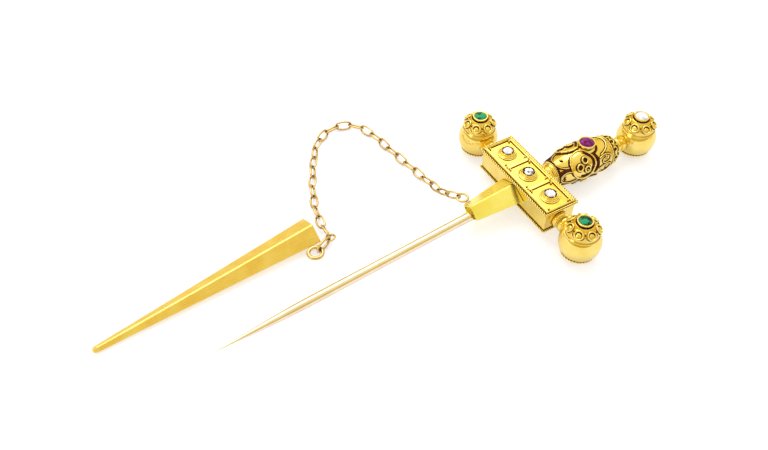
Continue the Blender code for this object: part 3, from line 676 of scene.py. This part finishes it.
def guard():
    case_low, case_high = reach("guard_case")
    half = (case_high - case_low) / 2
    refine("guard_case", "gold", 0.1 * MM)
    refine("guard_top_plate", "amber", 0.04 * MM)
    refine("panel_frame", "gold", 0.05 * MM)
    plate_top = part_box("guard_top_plate")[1][2]
    frame_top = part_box("panel_frame")[1][2]
    rope_low, rope_high = reach("guard_top_rope")
    radius = 0.2 * MM

    def out_of(point):
        return UP

    centre = Vector((0, 0, (rope_low.z + rope_high.z) / 2 + 0.06 * MM))
    edge = rectangle(centre, rope_high.x - radius, rope_high.y - radius, 0.14 * MM)
    strands = rope(edge, out_of, radius, turn=4.0)
    wires("guard_border_rope", strands, 0.5 * radius, "wire", "hilt", ("guard_top_rope",))
    # Painted shade: a dark wire that shows between the rope's strands.
    wires("guard_border_rope_shade", [edge], 0.62 * radius, "painted_shade", "hilt")
    # Painted shadow: a dark line under the border rope.
    under = rectangle(
        centre - Vector((0, 0, 0.3 * MM)), half.x + 0.06 * MM, half.y + 0.06 * MM, 0.1 * MM
    )
    wires("guard_border_shadow", [under], 0.07 * MM, "painted_shade", "hilt")
    base_level = Vector((0, 0, case_low.z + 0.17 * MM))
    foot = rectangle(base_level, half.x + 0.12 * MM, half.y + 0.12 * MM, 0.12 * MM)
    wires("guard_base_rope", rope(foot, out_of, 0.17 * MM, turn=4.4), 0.085 * MM, "wire", "hilt")
    # Painted shade between the base rope's strands.
    wires("guard_base_rope_shade", [foot], 0.1 * MM, "painted_shade", "hilt")
    # Painted shadow: a dark line above the base rope.
    above = Vector((0, 0, case_low.z + 0.36 * MM))
    foot = rectangle(above, half.x + 0.01 * MM, half.y + 0.01 * MM, 0.1 * MM)
    wires("guard_base_shadow", [foot], 0.05 * MM, "painted_shade", "hilt")

    level = Vector((0, 0, frame_top + 0.04 * MM))
    plain = [rectangle(level, half.x - 0.16 * MM, half.y - 0.16 * MM, 0.12 * MM)]
    panel_x = half.x - 0.55 * MM
    panel_shadows, beads, grains, corners, rim_shades = [], [], [], [], []
    for side in ("left", "centre", "right"):
        spot = middle(f"guard_bezel_{side}")
        edge_point = Vector((0, spot.y, plate_top + 0.02 * MM))
        # Painted shadow: a dark line round each panel, where the frame's wall shades it.
        panel_shadows.append(rectangle(edge_point, panel_x, 2.27 * MM, 0.08 * MM))
        for sx in (-1, 1):
            for sy in (-1, 1):
                corner_x = sx * (panel_x - 0.26 * MM)
                corner = (corner_x, spot.y + sy * 2.0 * MM, frame_top - 0.02 * MM)
                corners.append(Vector(corner))
        name = f"guard_cup_{side}"
        base, _, rim = setting(name, f"guard_bezel_{side}", 1.02 * MM, 0.88 * MM, collar=True)
        for k in range(6):
            angle = FULL_TURN * (k + 0.5) / 6
            way = Vector((math.cos(angle), math.sin(angle), 0))
            grains.append(base + way * 0.88 * MM + Vector((0, 0, rim + 0.02 * MM)))
        # Painted shade: a dark ring inside the cup's rim, round the stone.
        rim_shades.append(circle(base + Vector((0, 0, rim - 0.02 * MM)), UP, 0.86 * MM, 40))
        plain.append(circle(base + Vector((0, 0, 0.16 * MM)), UP, 1.17 * MM, 48))
        plain.append(circle(base + Vector((0, 0, 0.04 * MM)), UP, 1.4 * MM, 48))
        stone = f"guard_stone_{side}"
        kind = "diamond" if side == "centre" else "milky"
        cut_stone(f"guard_gem_{side}", stone, kind, 0.82)
    spacing = middle("guard_bezel_left").y - middle("guard_bezel_centre").y
    for sy in (-0.5, 0.5):
        beads.append(Vector((panel_x - 0.06 * MM, sy * spacing, frame_top + 0.1 * MM)))
        beads.append(Vector((0.06 * MM - panel_x, sy * spacing, frame_top + 0.06 * MM)))
    wires("guard_plain_wires", plain, 0.095 * MM, "wire", "hilt")
    wires("guard_rim_shades", rim_shades, 0.1 * MM, "painted_shade", "hilt")
    wires("guard_panel_shadows", panel_shadows, 0.05 * MM, "painted_shade", "hilt")
    granules("guard_granules", beads, 0.2 * MM, "wire", "hilt")
    granules("guard_corner_granules", corners, 0.19 * MM, "wire", "hilt")
    granules("guard_grains", grains, 0.1 * MM, "wire", "hilt")


# Necks


def turned(stations, span):
    """A turned outline through (radius in mm, share of the length) stations."""
    return [(0.0, 0.0)] + [(radius * MM, share * span) for radius, share in stations]


def side_neck(name, node, direction, seat, pole):
    """The turned neck from the guard's end into a ball whose near side is at pole."""
    span = pole - seat + 0.15 * MM
    start = seat - 0.02 * MM
    origin = AXIS + direction * start
    stations = [(1.3, 0.0), (1.36, 0.06), (1.36, 0.2), (1.24, 0.3), (1.0, 0.36), (0.98, 0.44)]
    stations += [(1.12, 0.5), (1.26, 0.6), (1.28, 0.72), (1.2, 0.82), (1.02, 0.9), (1.0, 1.06)]
    profile = turned(stations + [(0.0, 1.06)], span)
    lathe(name, profile, "gold", "hilt", along(origin, direction), (node,), steps=56)
    ring = circle(origin + direction * span * 0.4, direction, 1.06 * MM, 40)
    strands = rope(ring, lambda point: point - origin, 0.1 * MM, turn=4.0)
    wires(name + "_rope", strands, 0.06 * MM, "wire", "hilt")


def necks():
    case_low, case_high = reach("guard_case")
    end = (case_high.y - case_low.y) / 2
    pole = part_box("left_ball")[0][1]
    side_neck("left_neck_turned", "left_neck", Vector((0, 1, 0)), end, pole)
    pole = -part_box("right_ball")[1][1]
    side_neck("right_neck_turned", "right_neck", Vector((0, -1, 0)), end, pole)

    barrel_low, barrel_high = reach("grip_barrel")
    start = case_high.x
    span = barrel_low.x - start
    stations = [(1.72, 0.0), (1.84, 0.05), (1.84, 0.14), (1.7, 0.2), (1.66, 0.5), (1.7, 0.8)]
    stations += [(1.82, 0.86), (1.82, 0.96), (1.7, 1.02), (0.0, 1.02)]
    matrix = along(on_axis(start), Vector((1, 0, 0)))
    profile = turned(stations, span)
    lathe("grip_collar", profile, "gold", "hilt", matrix, ("grip_neck",), steps=64)

    start = barrel_high.x
    ball_low, _ = reach("pommel_ball")
    span = ball_low.x + 0.32 * MM - start
    stations = [(1.18, 0.0), (1.26, 0.06), (1.26, 0.2), (1.12, 0.28), (0.96, 0.36), (0.96, 0.44)]
    stations += [(1.14, 0.5), (1.28, 0.6), (1.28, 0.72), (1.12, 0.84), (1.08, 1.04), (0.0, 1.04)]
    matrix = along(on_axis(start), Vector((1, 0, 0)))
    profile = turned(stations, span)
    lathe("pommel_neck_turned", profile, "gold", "hilt", matrix, ("pommel_neck",), steps=56)


# Grip


def grip():
    low, high = reach("grip_barrel")
    start, end = low.x, high.x
    waist = 11.0 * MM
    widest = (high.y - low.y) / 2

    def swell(x):
        if x < waist:
            share = max((x - start) / (waist - start), 0.0)
            return 1.8 * MM + (widest - 1.8 * MM) * math.sin(math.pi / 2 * share) ** 0.8
        share = min((x - waist) / (end - waist), 1.0)
        return 1.3 * MM + (widest - 1.3 * MM) * max(1.0 - share * share, 0.0) ** 0.6

    def spot(x, angle, lift=0.0):
        """A point on the barrel: angle 0 is the top, positive towards the right ball."""
        radius = swell(x) + lift
        return on_axis(x, -radius * math.sin(angle), radius * math.cos(angle))

    def out_of(point):
        return Vector((0, point.y - AXIS.y, point.z - AXIS.z))

    def rounded(points, closed, steps=6):
        """Pairs of (x, angle) on a smooth curve through the given pairs."""
        count = len(points)
        pairs = []
        for i in range(count if closed else count - 1):
            around = range(i - 1, i + 3)
            near = [points[k % count if closed else min(max(k, 0), count - 1)] for k in around]
            for j in range(steps):
                t = j / steps
                value = []
                for a, b, c, d in zip(*near):
                    bend = (2 * a - 5 * b + 4 * c - d) * t * t + (3 * b - a - 3 * c + d) * t**3
                    value.append((2 * b + (c - a) * t + bend) / 2)
                pairs.append(value)
        return pairs if closed else pairs + [points[-1]]

    def traced(points, lift, closed, steps=6):
        """A path on the barrel through (x in mm, angle in degrees) points."""
        return [spot(x * MM, math.radians(a), lift) for x, a in rounded(points, closed, steps)]

    profile = [(0.0, 0.0)]
    for i in range(49):
        x = start + (end - start) * math.sin(math.pi / 2 * i / 48)
        profile.append((swell(x), x - start))
    profile.append((0.0, end - start))
    matrix = along(on_axis(start), Vector((1, 0, 0)))
    lathe("grip_shell", profile, "shell", "hilt", matrix, ("grip_barrel",), steps=80)

    def ringed(x, angle, size, lift=0.06):
        centre = spot(x * MM, math.radians(angle), lift * MM)
        return circle(centre, out_of(centre), size * MM, 20)

    def seat(x, angle, lift=-0.02):
        centre = spot(x * MM, math.radians(angle), lift * MM)
        return centre, out_of(centre)

    closed_wires, open_wires, shade_channels, open_shade_channels, ropes, hearts = [], [], [], [], [], []
    wells, domed, beads, trefoil, trefoil_shades, shades = [], [], [], [], [], []
    shields = bmesh.new()
    rise = 0.2 * MM

    def pillow(model, outline, centre):
        """A raised plate with this outline, a little fuller in its middle."""
        rows = []
        for share, lift in ((1.0, -0.05), (1.0, 0.15), (0.94, 0.18), (0.7, 0.19), (0.35, 0.2)):
            row = []
            for x, angle in outline:
                x = centre[0] + (x - centre[0]) * share
                angle = centre[1] + (angle - centre[1]) * share
                row.append(model.verts.new(spot(x * MM, math.radians(angle), lift * MM)))
            rows.append(row)
        top = model.verts.new(spot(centre[0] * MM, math.radians(centre[1]), 0.2 * MM))
        skin(model, rows)
        fan(model, rows[-1], top)
        model.faces.new(rows[0][::-1])

    heart = [(9.6, 9), (8.5, 5), (7.4, 14), (6.8, 34), (6.8, 58), (7.2, 78), (8.1, 91), (9.2, 92)]
    heart += [(10.1, 82), (10.7, 64), (10.85, 46), (10.5, 31)]
    first_arch = [(6.5, 43), (5.8, 38), (5.15, 24), (4.85, 0)]
    second_arch = [(6.8, 60), (5.9, 58), (5.1, 66), (4.9, 80), (5.4, 96), (6.5, 103), (7.6, 96)]
    third_arch = [(7.8, 104), (6.4, 112), (5.2, 118), (5.0, 135), (5.6, 152), (7.0, 158)]
    shoulder = [(12.3, 44), (13.2, 37), (13.9, 26), (14.25, 10), (14.3, 0)]
    curl = [(11.9, 52), (12.8, 47), (13.8, 50), (14.2, 60), (13.8, 72), (12.9, 74), (12.4, 66)]
    curl += [(12.9, 60), (13.4, 62)]
    low_curl = [(11.7, 84), (12.7, 80), (13.8, 84), (14.2, 95), (13.7, 108), (12.7, 110)]
    low_curl += [(12.2, 101)]
    belly = [(8.2, 106), (9.8, 104), (11.2, 112), (11.9, 128), (11.2, 146), (9.6, 154), (8.2, 146)]
    belly += [(7.6, 126)]
    stem = [(4.8, 56), (5.4, 51), (6.5, 50)]
    for side in (-1, 1):

        def mirrored(points):
            return [(x, side * angle) for x, angle in points]

        hearts.append(traced(mirrored(heart), rise + 0.08 * MM, True))
        shade_channels.append(traced(mirrored(heart), -0.2 * MM, True))
        pillow(shields, rounded(mirrored(heart), True), (8.9, side * 48))
        inside = [(8.9 + (x - 8.9) * 0.83, 48 + (a - 48) * 0.83) for x, a in heart]
        shades.append(traced(mirrored(inside[6:12] + inside[:1]), rise - 0.19 * MM, False))
        closed_wires.append(traced(mirrored(belly), 0.07 * MM, True))
        shade_channels.append(traced(mirrored(belly), -0.15 * MM, True))
        for path in (first_arch, second_arch, third_arch, shoulder, curl, low_curl):
            open_wires.append(traced(mirrored(path), 0.07 * MM, False))
            open_shade_channels.append(traced(mirrored(path), -0.15 * MM, False))
        open_shade_channels.append(traced(mirrored(stem), -0.06 * MM, False))
        band = [(11.2, 34), (11.5, 48), (11.55, 64), (11.3, 78), (10.7, 90)]
        ropes += rope(traced(mirrored(band), 0.08 * MM, False), out_of, 0.12 * MM, closed=False)
        open_shade_channels.append(traced(mirrored(band), -0.06 * MM, False))
        for x, angle, size in ((9.2, 39, 0.5), (8.1, 55, 0.53), (9.3, 67, 0.47)):
            trefoil.append(ringed(x, side * angle, size, 0.3))
            trefoil_shades.append(ringed(x, side * angle, size + 0.16, 0.2))
            wells.append(seat(x, side * angle, 0.215))
        closed_wires.append(ringed(9.5, side * 128, 0.5))
        beads.append(spot(9.3 * MM, side * math.radians(69), 0.28 * MM))
        for x, angle in ((5.7, 80), (6.2, 136), (13.1, 94), (13.2, 58)):
            wells.append(seat(x, side * angle))
            domed.append(seat(x + 0.1, side * (angle - 3), 0.0))
        for x, angle in ((6.95, 26), (7.7, 10), (6.7, 46)):
            beads.append(spot(x * MM, side * math.radians(angle), rise + 0.2 * MM))
    solid("grip_shields", shields, "shell", "hilt")
    wells.append(seat(6.15, 3))
    domed.append(seat(6.05, -1, 0.0))
    keel = [spot((4.8 + 9.8 * i / 30) * MM, math.pi, 0.05 * MM) for i in range(31)]
    ropes += rope(keel, out_of, 0.12 * MM, closed=False)

    count = 11
    for k in range(count):
        angle = 360 * (k + 0.5) / count
        closed_wires.append(ringed(15.5, angle, 0.36, 0.05))
        wells.append(seat(15.5, angle))
        beads.append(spot(16.1 * MM, math.radians(angle + 180 / count), 0.05 * MM))
    bands = rope(band_path(spot, start + 0.3 * MM, 0.05 * MM), out_of, 0.14 * MM)
    bands += rope(band_path(spot, 14.85 * MM, 0.04 * MM), out_of, 0.13 * MM)
    closed_wires.append(band_path(spot, 16.45 * MM, 0.03 * MM))
    shade_channels.append(band_path(spot, 15.1 * MM, -0.22 * MM))
    shade_channels.append(band_path(spot, 16.05 * MM, -0.22 * MM))
    shade_channels.append(band_path(spot, start + 0.55 * MM, -0.12 * MM))
    wires("grip_wires", closed_wires, 0.1 * MM, "wire", "hilt")
    wires("grip_hearts", hearts, 0.125 * MM, "wire", "hilt")
    wires("grip_trefoils", trefoil, 0.13 * MM, "wire", "hilt")
    # Painted shade: dark rings round the trefoil rings.
    wires("grip_trefoil_shades", trefoil_shades, 0.07 * MM, "painted_shade", "hilt")
    wires("grip_leaves", open_wires, 0.1 * MM, "wire", "hilt", closed=False)
    wires("grip_shades", shades, 0.26 * MM, "painted_shade", "hilt", closed=False)
    # Painted shade: dark wires wider than the gold wires over them, showing as dark borders.
    wires("grip_shade_channels", shade_channels, 0.31 * MM, "painted_shade", "hilt")
    wires("grip_open_shade_channels", open_shade_channels, 0.29 * MM, "painted_shade", "hilt", closed=False)
    wires("grip_bands", bands, 0.075 * MM, "wire", "hilt")
    wires("grip_ropes", ropes, 0.07 * MM, "wire", "hilt", closed=False)
    # Painted shade: dark discs under the rings and domes.
    domes("grip_wells", wells, 0.4 * MM, 0.05 * MM, "painted_shade", "hilt")
    domes("grip_domes", domed, 0.2 * MM, 0.14 * MM, "wire", "hilt")
    granules("grip_granules", beads, 0.15 * MM, "wire", "hilt")

    base, foot, _ = setting("ruby_cup", "ruby_bezel", 1.36 * MM, 1.12 * MM)
    # Painted shadow: a dark ring round the foot of the ruby's cup.
    ring = circle(base + Vector((0, 0, 0.02 * MM)), UP, foot + 0.1 * MM, 60)
    wires("ruby_cup_shadow", [ring], 0.2 * MM, "painted_shade", "hilt")
    cut_stone("ruby_gem", "ruby", "ruby", 0.9)


def band_path(spot, x, lift, steps=72):
    """A ring round the grip at a distance along it."""
    return [spot(x, FULL_TURN * k / steps, lift) for k in range(steps)]


# Blade, scabbard and chain


def mesh_points(node):
    return [vertex.co.copy() for vertex in frame["nodes"][node].data.vertices]


def average(points):
    return sum(points, Vector()) / len(points)


def outer_corners(points, centre):
    """The four outer corners of a lozenge ring, in order: +Y, +Z, -Y, -Z."""
    found = []
    for way in (Vector((0, 1, 0)), UP, Vector((0, -1, 0)), -UP):
        found.append(max(points, key=lambda point: (point - centre).dot(way)))
    return found


def lozenge_tube(name, node, body, stations, material, flat, wall, sharp):
    """A lozenge tube through rings of four corners, with narrow flats along its corners."""
    rings = []
    for i, (low, high) in enumerate(zip(stations, stations[1:])):
        steps = 28 if i == 0 else 3
        for k in range(steps):
            rings.append([a.lerp(b, k / steps) for a, b in zip(low, high)])
    rings.append(stations[-1])
    inward = (average(stations[0]) - average(stations[-1])).normalized()
    opened = []
    for depth in (0.0, 1.2, 4.0):
        size = (stations[-1][0] - stations[-1][2]).length / 2
        share = (size - wall) / size
        hub = average(stations[-1])
        shift = inward * depth * MM
        opened.append([hub + (p - hub) * share + shift for p in stations[-1]])
    model = bmesh.new()
    rows = []
    for ring in rings + opened:
        row = []
        for i, corner in enumerate(ring):
            before, after = ring[i - 1], ring[(i + 1) % 4]
            band = min(flat / (corner - before).length, 0.12)
            for share in (2.4 * band, band):
                row.append(model.verts.new(corner.lerp(before, share)))
            for share in (band, 2.4 * band):
                row.append(model.verts.new(corner.lerp(after, share)))
        rows.append(row)
    skin(model, rows)
    model.faces.new(rows[0])
    model.faces.new(rows[-1][::-1])
    solid(name, model, material, body, (node,), sharp=sharp)


def lozenge_socket():
    points = mesh_points("blade_socket")
    root_x = max(point.x for point in points)
    tip_x = min(point.x for point in points)
    root = [point for point in points if point.x > root_x - 0.1 * MM]
    shoulder = [point for point in points if tip_x + 0.2 * MM < point.x < tip_x + 0.32 * MM]
    tip = [point for point in points if point.x < tip_x + 0.01 * MM]
    stations = [outer_corners(ring, average(ring)) for ring in (root, shoulder, tip)]
    flat, wall = 0.12 * MM, 0.24 * MM
    lozenge_tube("lozenge_socket", "blade_socket", "hilt", stations, "socket", flat, wall, 46.0)


def blade():
    points = mesh_points("pin_stem")
    tip = min(points, key=lambda point: point.x)
    tang = average([point for point in points if point.x > max(p.x for p in points) - 0.03 * MM])
    direction = (tip - tang).normalized()
    length = (tip - tang).length
    shoulder = [p for p in points if abs((p - tang).dot(direction)) < 0.05 * MM]
    radius = max((p - tang - direction * (p - tang).dot(direction)).length for p in shoulder)
    profile = [(0.0, 0.0), (radius, 0.0), (radius, 0.6 * length)]
    for i in range(1, 25):
        share = i / 24
        narrowed = 0.03 * MM + (radius - 0.03 * MM) * (1 - share**1.6)
        profile.append((narrowed, length * (0.72 + 0.28 * share)))
    profile.append((0.0, length + 0.02 * MM))
    lathe("stem", profile, "pale", "hilt", along(tang, direction), ("pin_stem",), steps=40)
    lozenge_socket()
    refine("socket_plug", "socket", 0.05 * MM)
    eye = middle("socket_eye")
    low, high = reach("socket_eye")
    wire = (high.z - low.z) / 2
    ring = circle(eye, UP, (high.x - low.x) / 2 - wire, 56)
    wires("socket_eye_ring", [ring], wire, "chain", "hilt", ("socket_eye",), sides=5)


def scabbard():
    points = mesh_points("scabbard_shell")
    far_end = min(point.x for point in points)
    near_end = max(point.x for point in points)
    end_ring = [point for point in points if point.x < far_end + 0.25 * MM]
    end = average(end_ring)
    mouth_ring = [point for point in points if point.x > near_end - 0.6 * MM]
    mouth = average(mouth_ring)
    direction = (end - mouth).normalized()
    stations = [outer_corners(end_ring, end), outer_corners(mouth_ring, mouth)]
    lip = [p + direction * 0.08 * MM for p in stations[1]]
    rim = [mouth + (p - mouth) * 0.975 for p in stations[1]]
    stations = [stations[0], lip, rim]
    flat, wall = 0.13 * MM, 0.3 * MM
    node = "scabbard_shell"
    lozenge_tube("lozenge_scabbard", node, "scabbard", stations, "satin", flat, wall, 28.0)
    corners = []
    for point in sorted(end_ring, key=lambda point: -(point - end).length):
        if all((point - other).length > 0.3 * MM for other in corners):
            corners.append(point)
    corners = corners[:4]
    across = (corners[0] - end).normalized()
    upright = direction.cross(across)
    corners.sort(key=lambda p: math.atan2((p - end).dot(upright), (p - end).dot(across)))
    outline = []
    for i, corner in enumerate(corners):
        before, after = corners[i - 1], corners[(i + 1) % 4]
        outline += [corner.lerp(before, 0.16), corner.lerp((before + after) / 2, 0.06)]
        outline += [corner.lerp(after, 0.16), corner.lerp(after, 0.5)]
    model = bmesh.new()
    rows = []
    rounding = ((1.0, 0.0), (1.0, 0.12), (0.93, 0.34), (0.8, 0.52), (0.6, 0.66), (0.34, 0.75))
    for share, distance in rounding:
        step = direction * distance * MM
        rows.append([model.verts.new(end + (p - end) * share + step) for p in outline])
    skin(model, rows)
    model.faces.new(rows[-1])
    model.faces.new(rows[0][::-1])
    solid("scabbard_point", model, "satin", "scabbard", ("scabbard_tip",), sharp=50.0)
    low, high = reach("scabbard_eye")
    wire = (high.z - low.z) / 2
    thick = 1.14 * wire
    ring = circle(middle("scabbard_eye"), UP, (high.x - low.x) / 2 - 2 * wire + thick, 64)
    wires("scabbard_eye_ring", [ring], thick, "chain", "scabbard", ("scabbard_eye",), sides=6)


def link_shape(node):
    """A link's middle, its long, cross and normal directions, and its outer sizes."""
    points = mesh_points(node)
    centre = average(points)
    sums = [[sum((p - centre)[i] * (p - centre)[j] for p in points) for j in range(3)] for i in range(3)]
    spread_of = Matrix(sums)
    normal = Vector((1, 1, 1))
    inverse = spread_of.inverted()
    long = Vector((0.3, 1, 0.2))
    for _ in range(60):
        normal = (inverse @ normal).normalized()
        long = (spread_of @ long).normalized()
    cross = normal.cross(long).normalized()
    sizes = []
    for direction in (long, cross, normal):
        along_it = [(p - centre).dot(direction) for p in points]
        sizes.append(max(along_it) - min(along_it))
    return centre, (long, cross, normal), sizes


def chain():
    for body in frame["bodies"]:
        if not (body.startswith("chain_link") or body in ("round_link", "oval_link")):
            continue
        centre, (long, cross, _), (length, width, wire) = link_shape(body)
        power = 0.8
        if length - width < 0.1 * MM:
            length = width = 2 * max((point - centre).length for point in mesh_points(body))
            power = 1.0
        half_long, half_wide = (length - wire) / 2, (width - wire) / 2
        path = []
        for i in range(40):
            angle = FULL_TURN * i / 40
            turn, rise = math.cos(angle), math.sin(angle)
            x = math.copysign(abs(turn) ** power, turn) * half_long
            y = math.copysign(abs(rise) ** power, rise) * half_wide
            path.append(centre + long * x + cross * y)
        wires(body + "_wire", [path], 0.53 * wire, "chain", body, (body,), sides=5)


# Studio


def studio():
    low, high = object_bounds()
    floor_level = low.z
    model = bmesh.new()
    bmesh.ops.create_grid(model, x_segments=1, y_segments=1, size=2.0)
    mesh = bpy.data.meshes.new("floor")
    model.to_mesh(mesh)
    model.free()
    floor = bpy.data.objects.new("floor", mesh)
    bpy.context.scene.collection.objects.link(floor)
    floor.location = (0, 0, floor_level - 0.01 * MM)
    made = Nodes("white_paper")
    tone = made.ramp(made.noise(60.0), [(0.3, (0.62, 0.62, 0.63)), (0.7, (0.66, 0.66, 0.66))])
    made.surface(Base_Color=tone, Roughness=0.75)
    seen = made.add("LightPath").outputs["Is Camera Ray"]
    glow = made.ramp(seen, [(0.0, grey(0.3)), (1.0, grey(0.52))])
    made.surface(Emission_Color=(1.0, 0.985, 1.0, 1.0), Emission_Strength=glow)
    mesh.materials.append(made.material)
    floor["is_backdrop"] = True

    world = bpy.data.worlds.new("studio")
    bpy.context.scene.world = world
    world.use_nodes = True
    tree = world.node_tree

    def made_node(kind, **inputs):
        node = tree.nodes.new("ShaderNode" + kind)
        for key, value in inputs.items():
            socket = node.inputs[int(key[1:]) if key[1:].isdigit() else key]
            if isinstance(value, bpy.types.NodeSocket):
                tree.links.new(value, socket)
            else:
                socket.default_value = value
        return node

    def sky(height, stops):
        node = made_node("ValToRGB", Fac=height)
        elements = node.color_ramp.elements
        while len(elements) < len(stops):
            elements.new(0.5)
        for element, (position, value, tint) in zip(elements, stops):
            element.position = position
            element.color = (*(value * part for part in tint), 1.0)
        return node.outputs["Color"]

    white, cream, honey = (1, 1, 1), (1, 0.96, 0.75), (1, 0.9, 0.55)
    straw, amber = (1, 0.87, 0.4), (1, 0.74, 0.18)

    direction = made_node("TexCoord").outputs["Generated"]
    height = made_node("SeparateXYZ", Vector=direction).outputs["Z"]
    facing = made_node("VectorMath", _0=direction, _1=CAMERA_SIDE)
    facing.operation = "DOT_PRODUCT"
    front = made_node("MapRange", Value=facing.outputs["Value"])
    front.inputs["From Min"].default_value = -0.1
    front.inputs["From Max"].default_value = 0.25
    near = [(0.0, 1.0, white), (0.16, 1.0, white), (0.195, 0.42, amber), (0.27, 0.6, amber)]
    near += [(0.45, 0.7, amber), (0.7, 0.78, straw), (0.95, 0.9, cream)]
    far = [(0.0, 0.9, white), (0.08, 0.66, amber), (0.25, 0.68, amber), (0.5, 0.86, straw)]
    far += [(0.72, 0.9, honey), (1.0, 0.95, cream)]

    def mixed(factor, a, b):
        node = tree.nodes.new("ShaderNodeMix")
        node.data_type = "RGBA"
        tree.links.new(factor, node.inputs["Factor"])
        for socket, value in ((node.inputs[6], a), (node.inputs[7], b)):
            if isinstance(value, bpy.types.NodeSocket):
                tree.links.new(value, socket)
            else:
                socket.default_value = value
        return node.outputs[2]

    cards = mixed(front.outputs["Result"], sky(height, far), sky(height, near))
    mirrored = tree.nodes.new("ShaderNodeLightPath").outputs["Is Glossy Ray"]
    room = mixed(mirrored, (0.78, 0.775, 0.77, 1.0), cards)
    back = tree.nodes["Background"]
    tree.links.new(room, back.inputs["Color"])
    back.inputs["Strength"].default_value = 1.08

    def softbox(name, spot, size, power, tint=(1.0, 1.0, 1.0)):
        light = bpy.data.lights.new(name, "AREA")
        light.shape = "RECTANGLE"
        light.size, light.size_y = size
        light.energy = power
        light.color = tint
        obj = bpy.data.objects.new(name, light)
        bpy.context.scene.collection.objects.link(obj)
        obj.location = Vector(spot)
        aim = Vector((-0.02, 0.005, 0.0))
        obj.rotation_mode = "QUATERNION"
        obj.rotation_quaternion = (aim - obj.location).to_track_quat("-Z", "Y")

    softbox("key", (0.04, 0.22, 0.4), (0.4, 0.3), 0.8)
    softbox("fill", (-0.36, 0.02, 0.22), (0.14, 0.14), 0.16, (1.0, 0.97, 0.93))

    camera = bpy.data.cameras.new("camera")
    camera.lens = 38.56
    camera.sensor_width = 36.0
    camera.clip_start = 0.005
    camera.clip_end = 10.0
    obj = bpy.data.objects.new("camera", camera)
    bpy.context.scene.collection.objects.link(obj)
    obj.location = CAMERA_SPOT
    obj.rotation_euler = (math.pi / 2 - CAMERA_DOWN, 0.0, -CAMERA_HEADING)
    bpy.context.scene.camera = obj
    bpy.context.scene.view_settings.view_transform = "Standard"


for which in ("left", "right", "pommel"):
    ball(which)
guard()
necks()
grip()
blade()
scabbard()
chain()
studio()
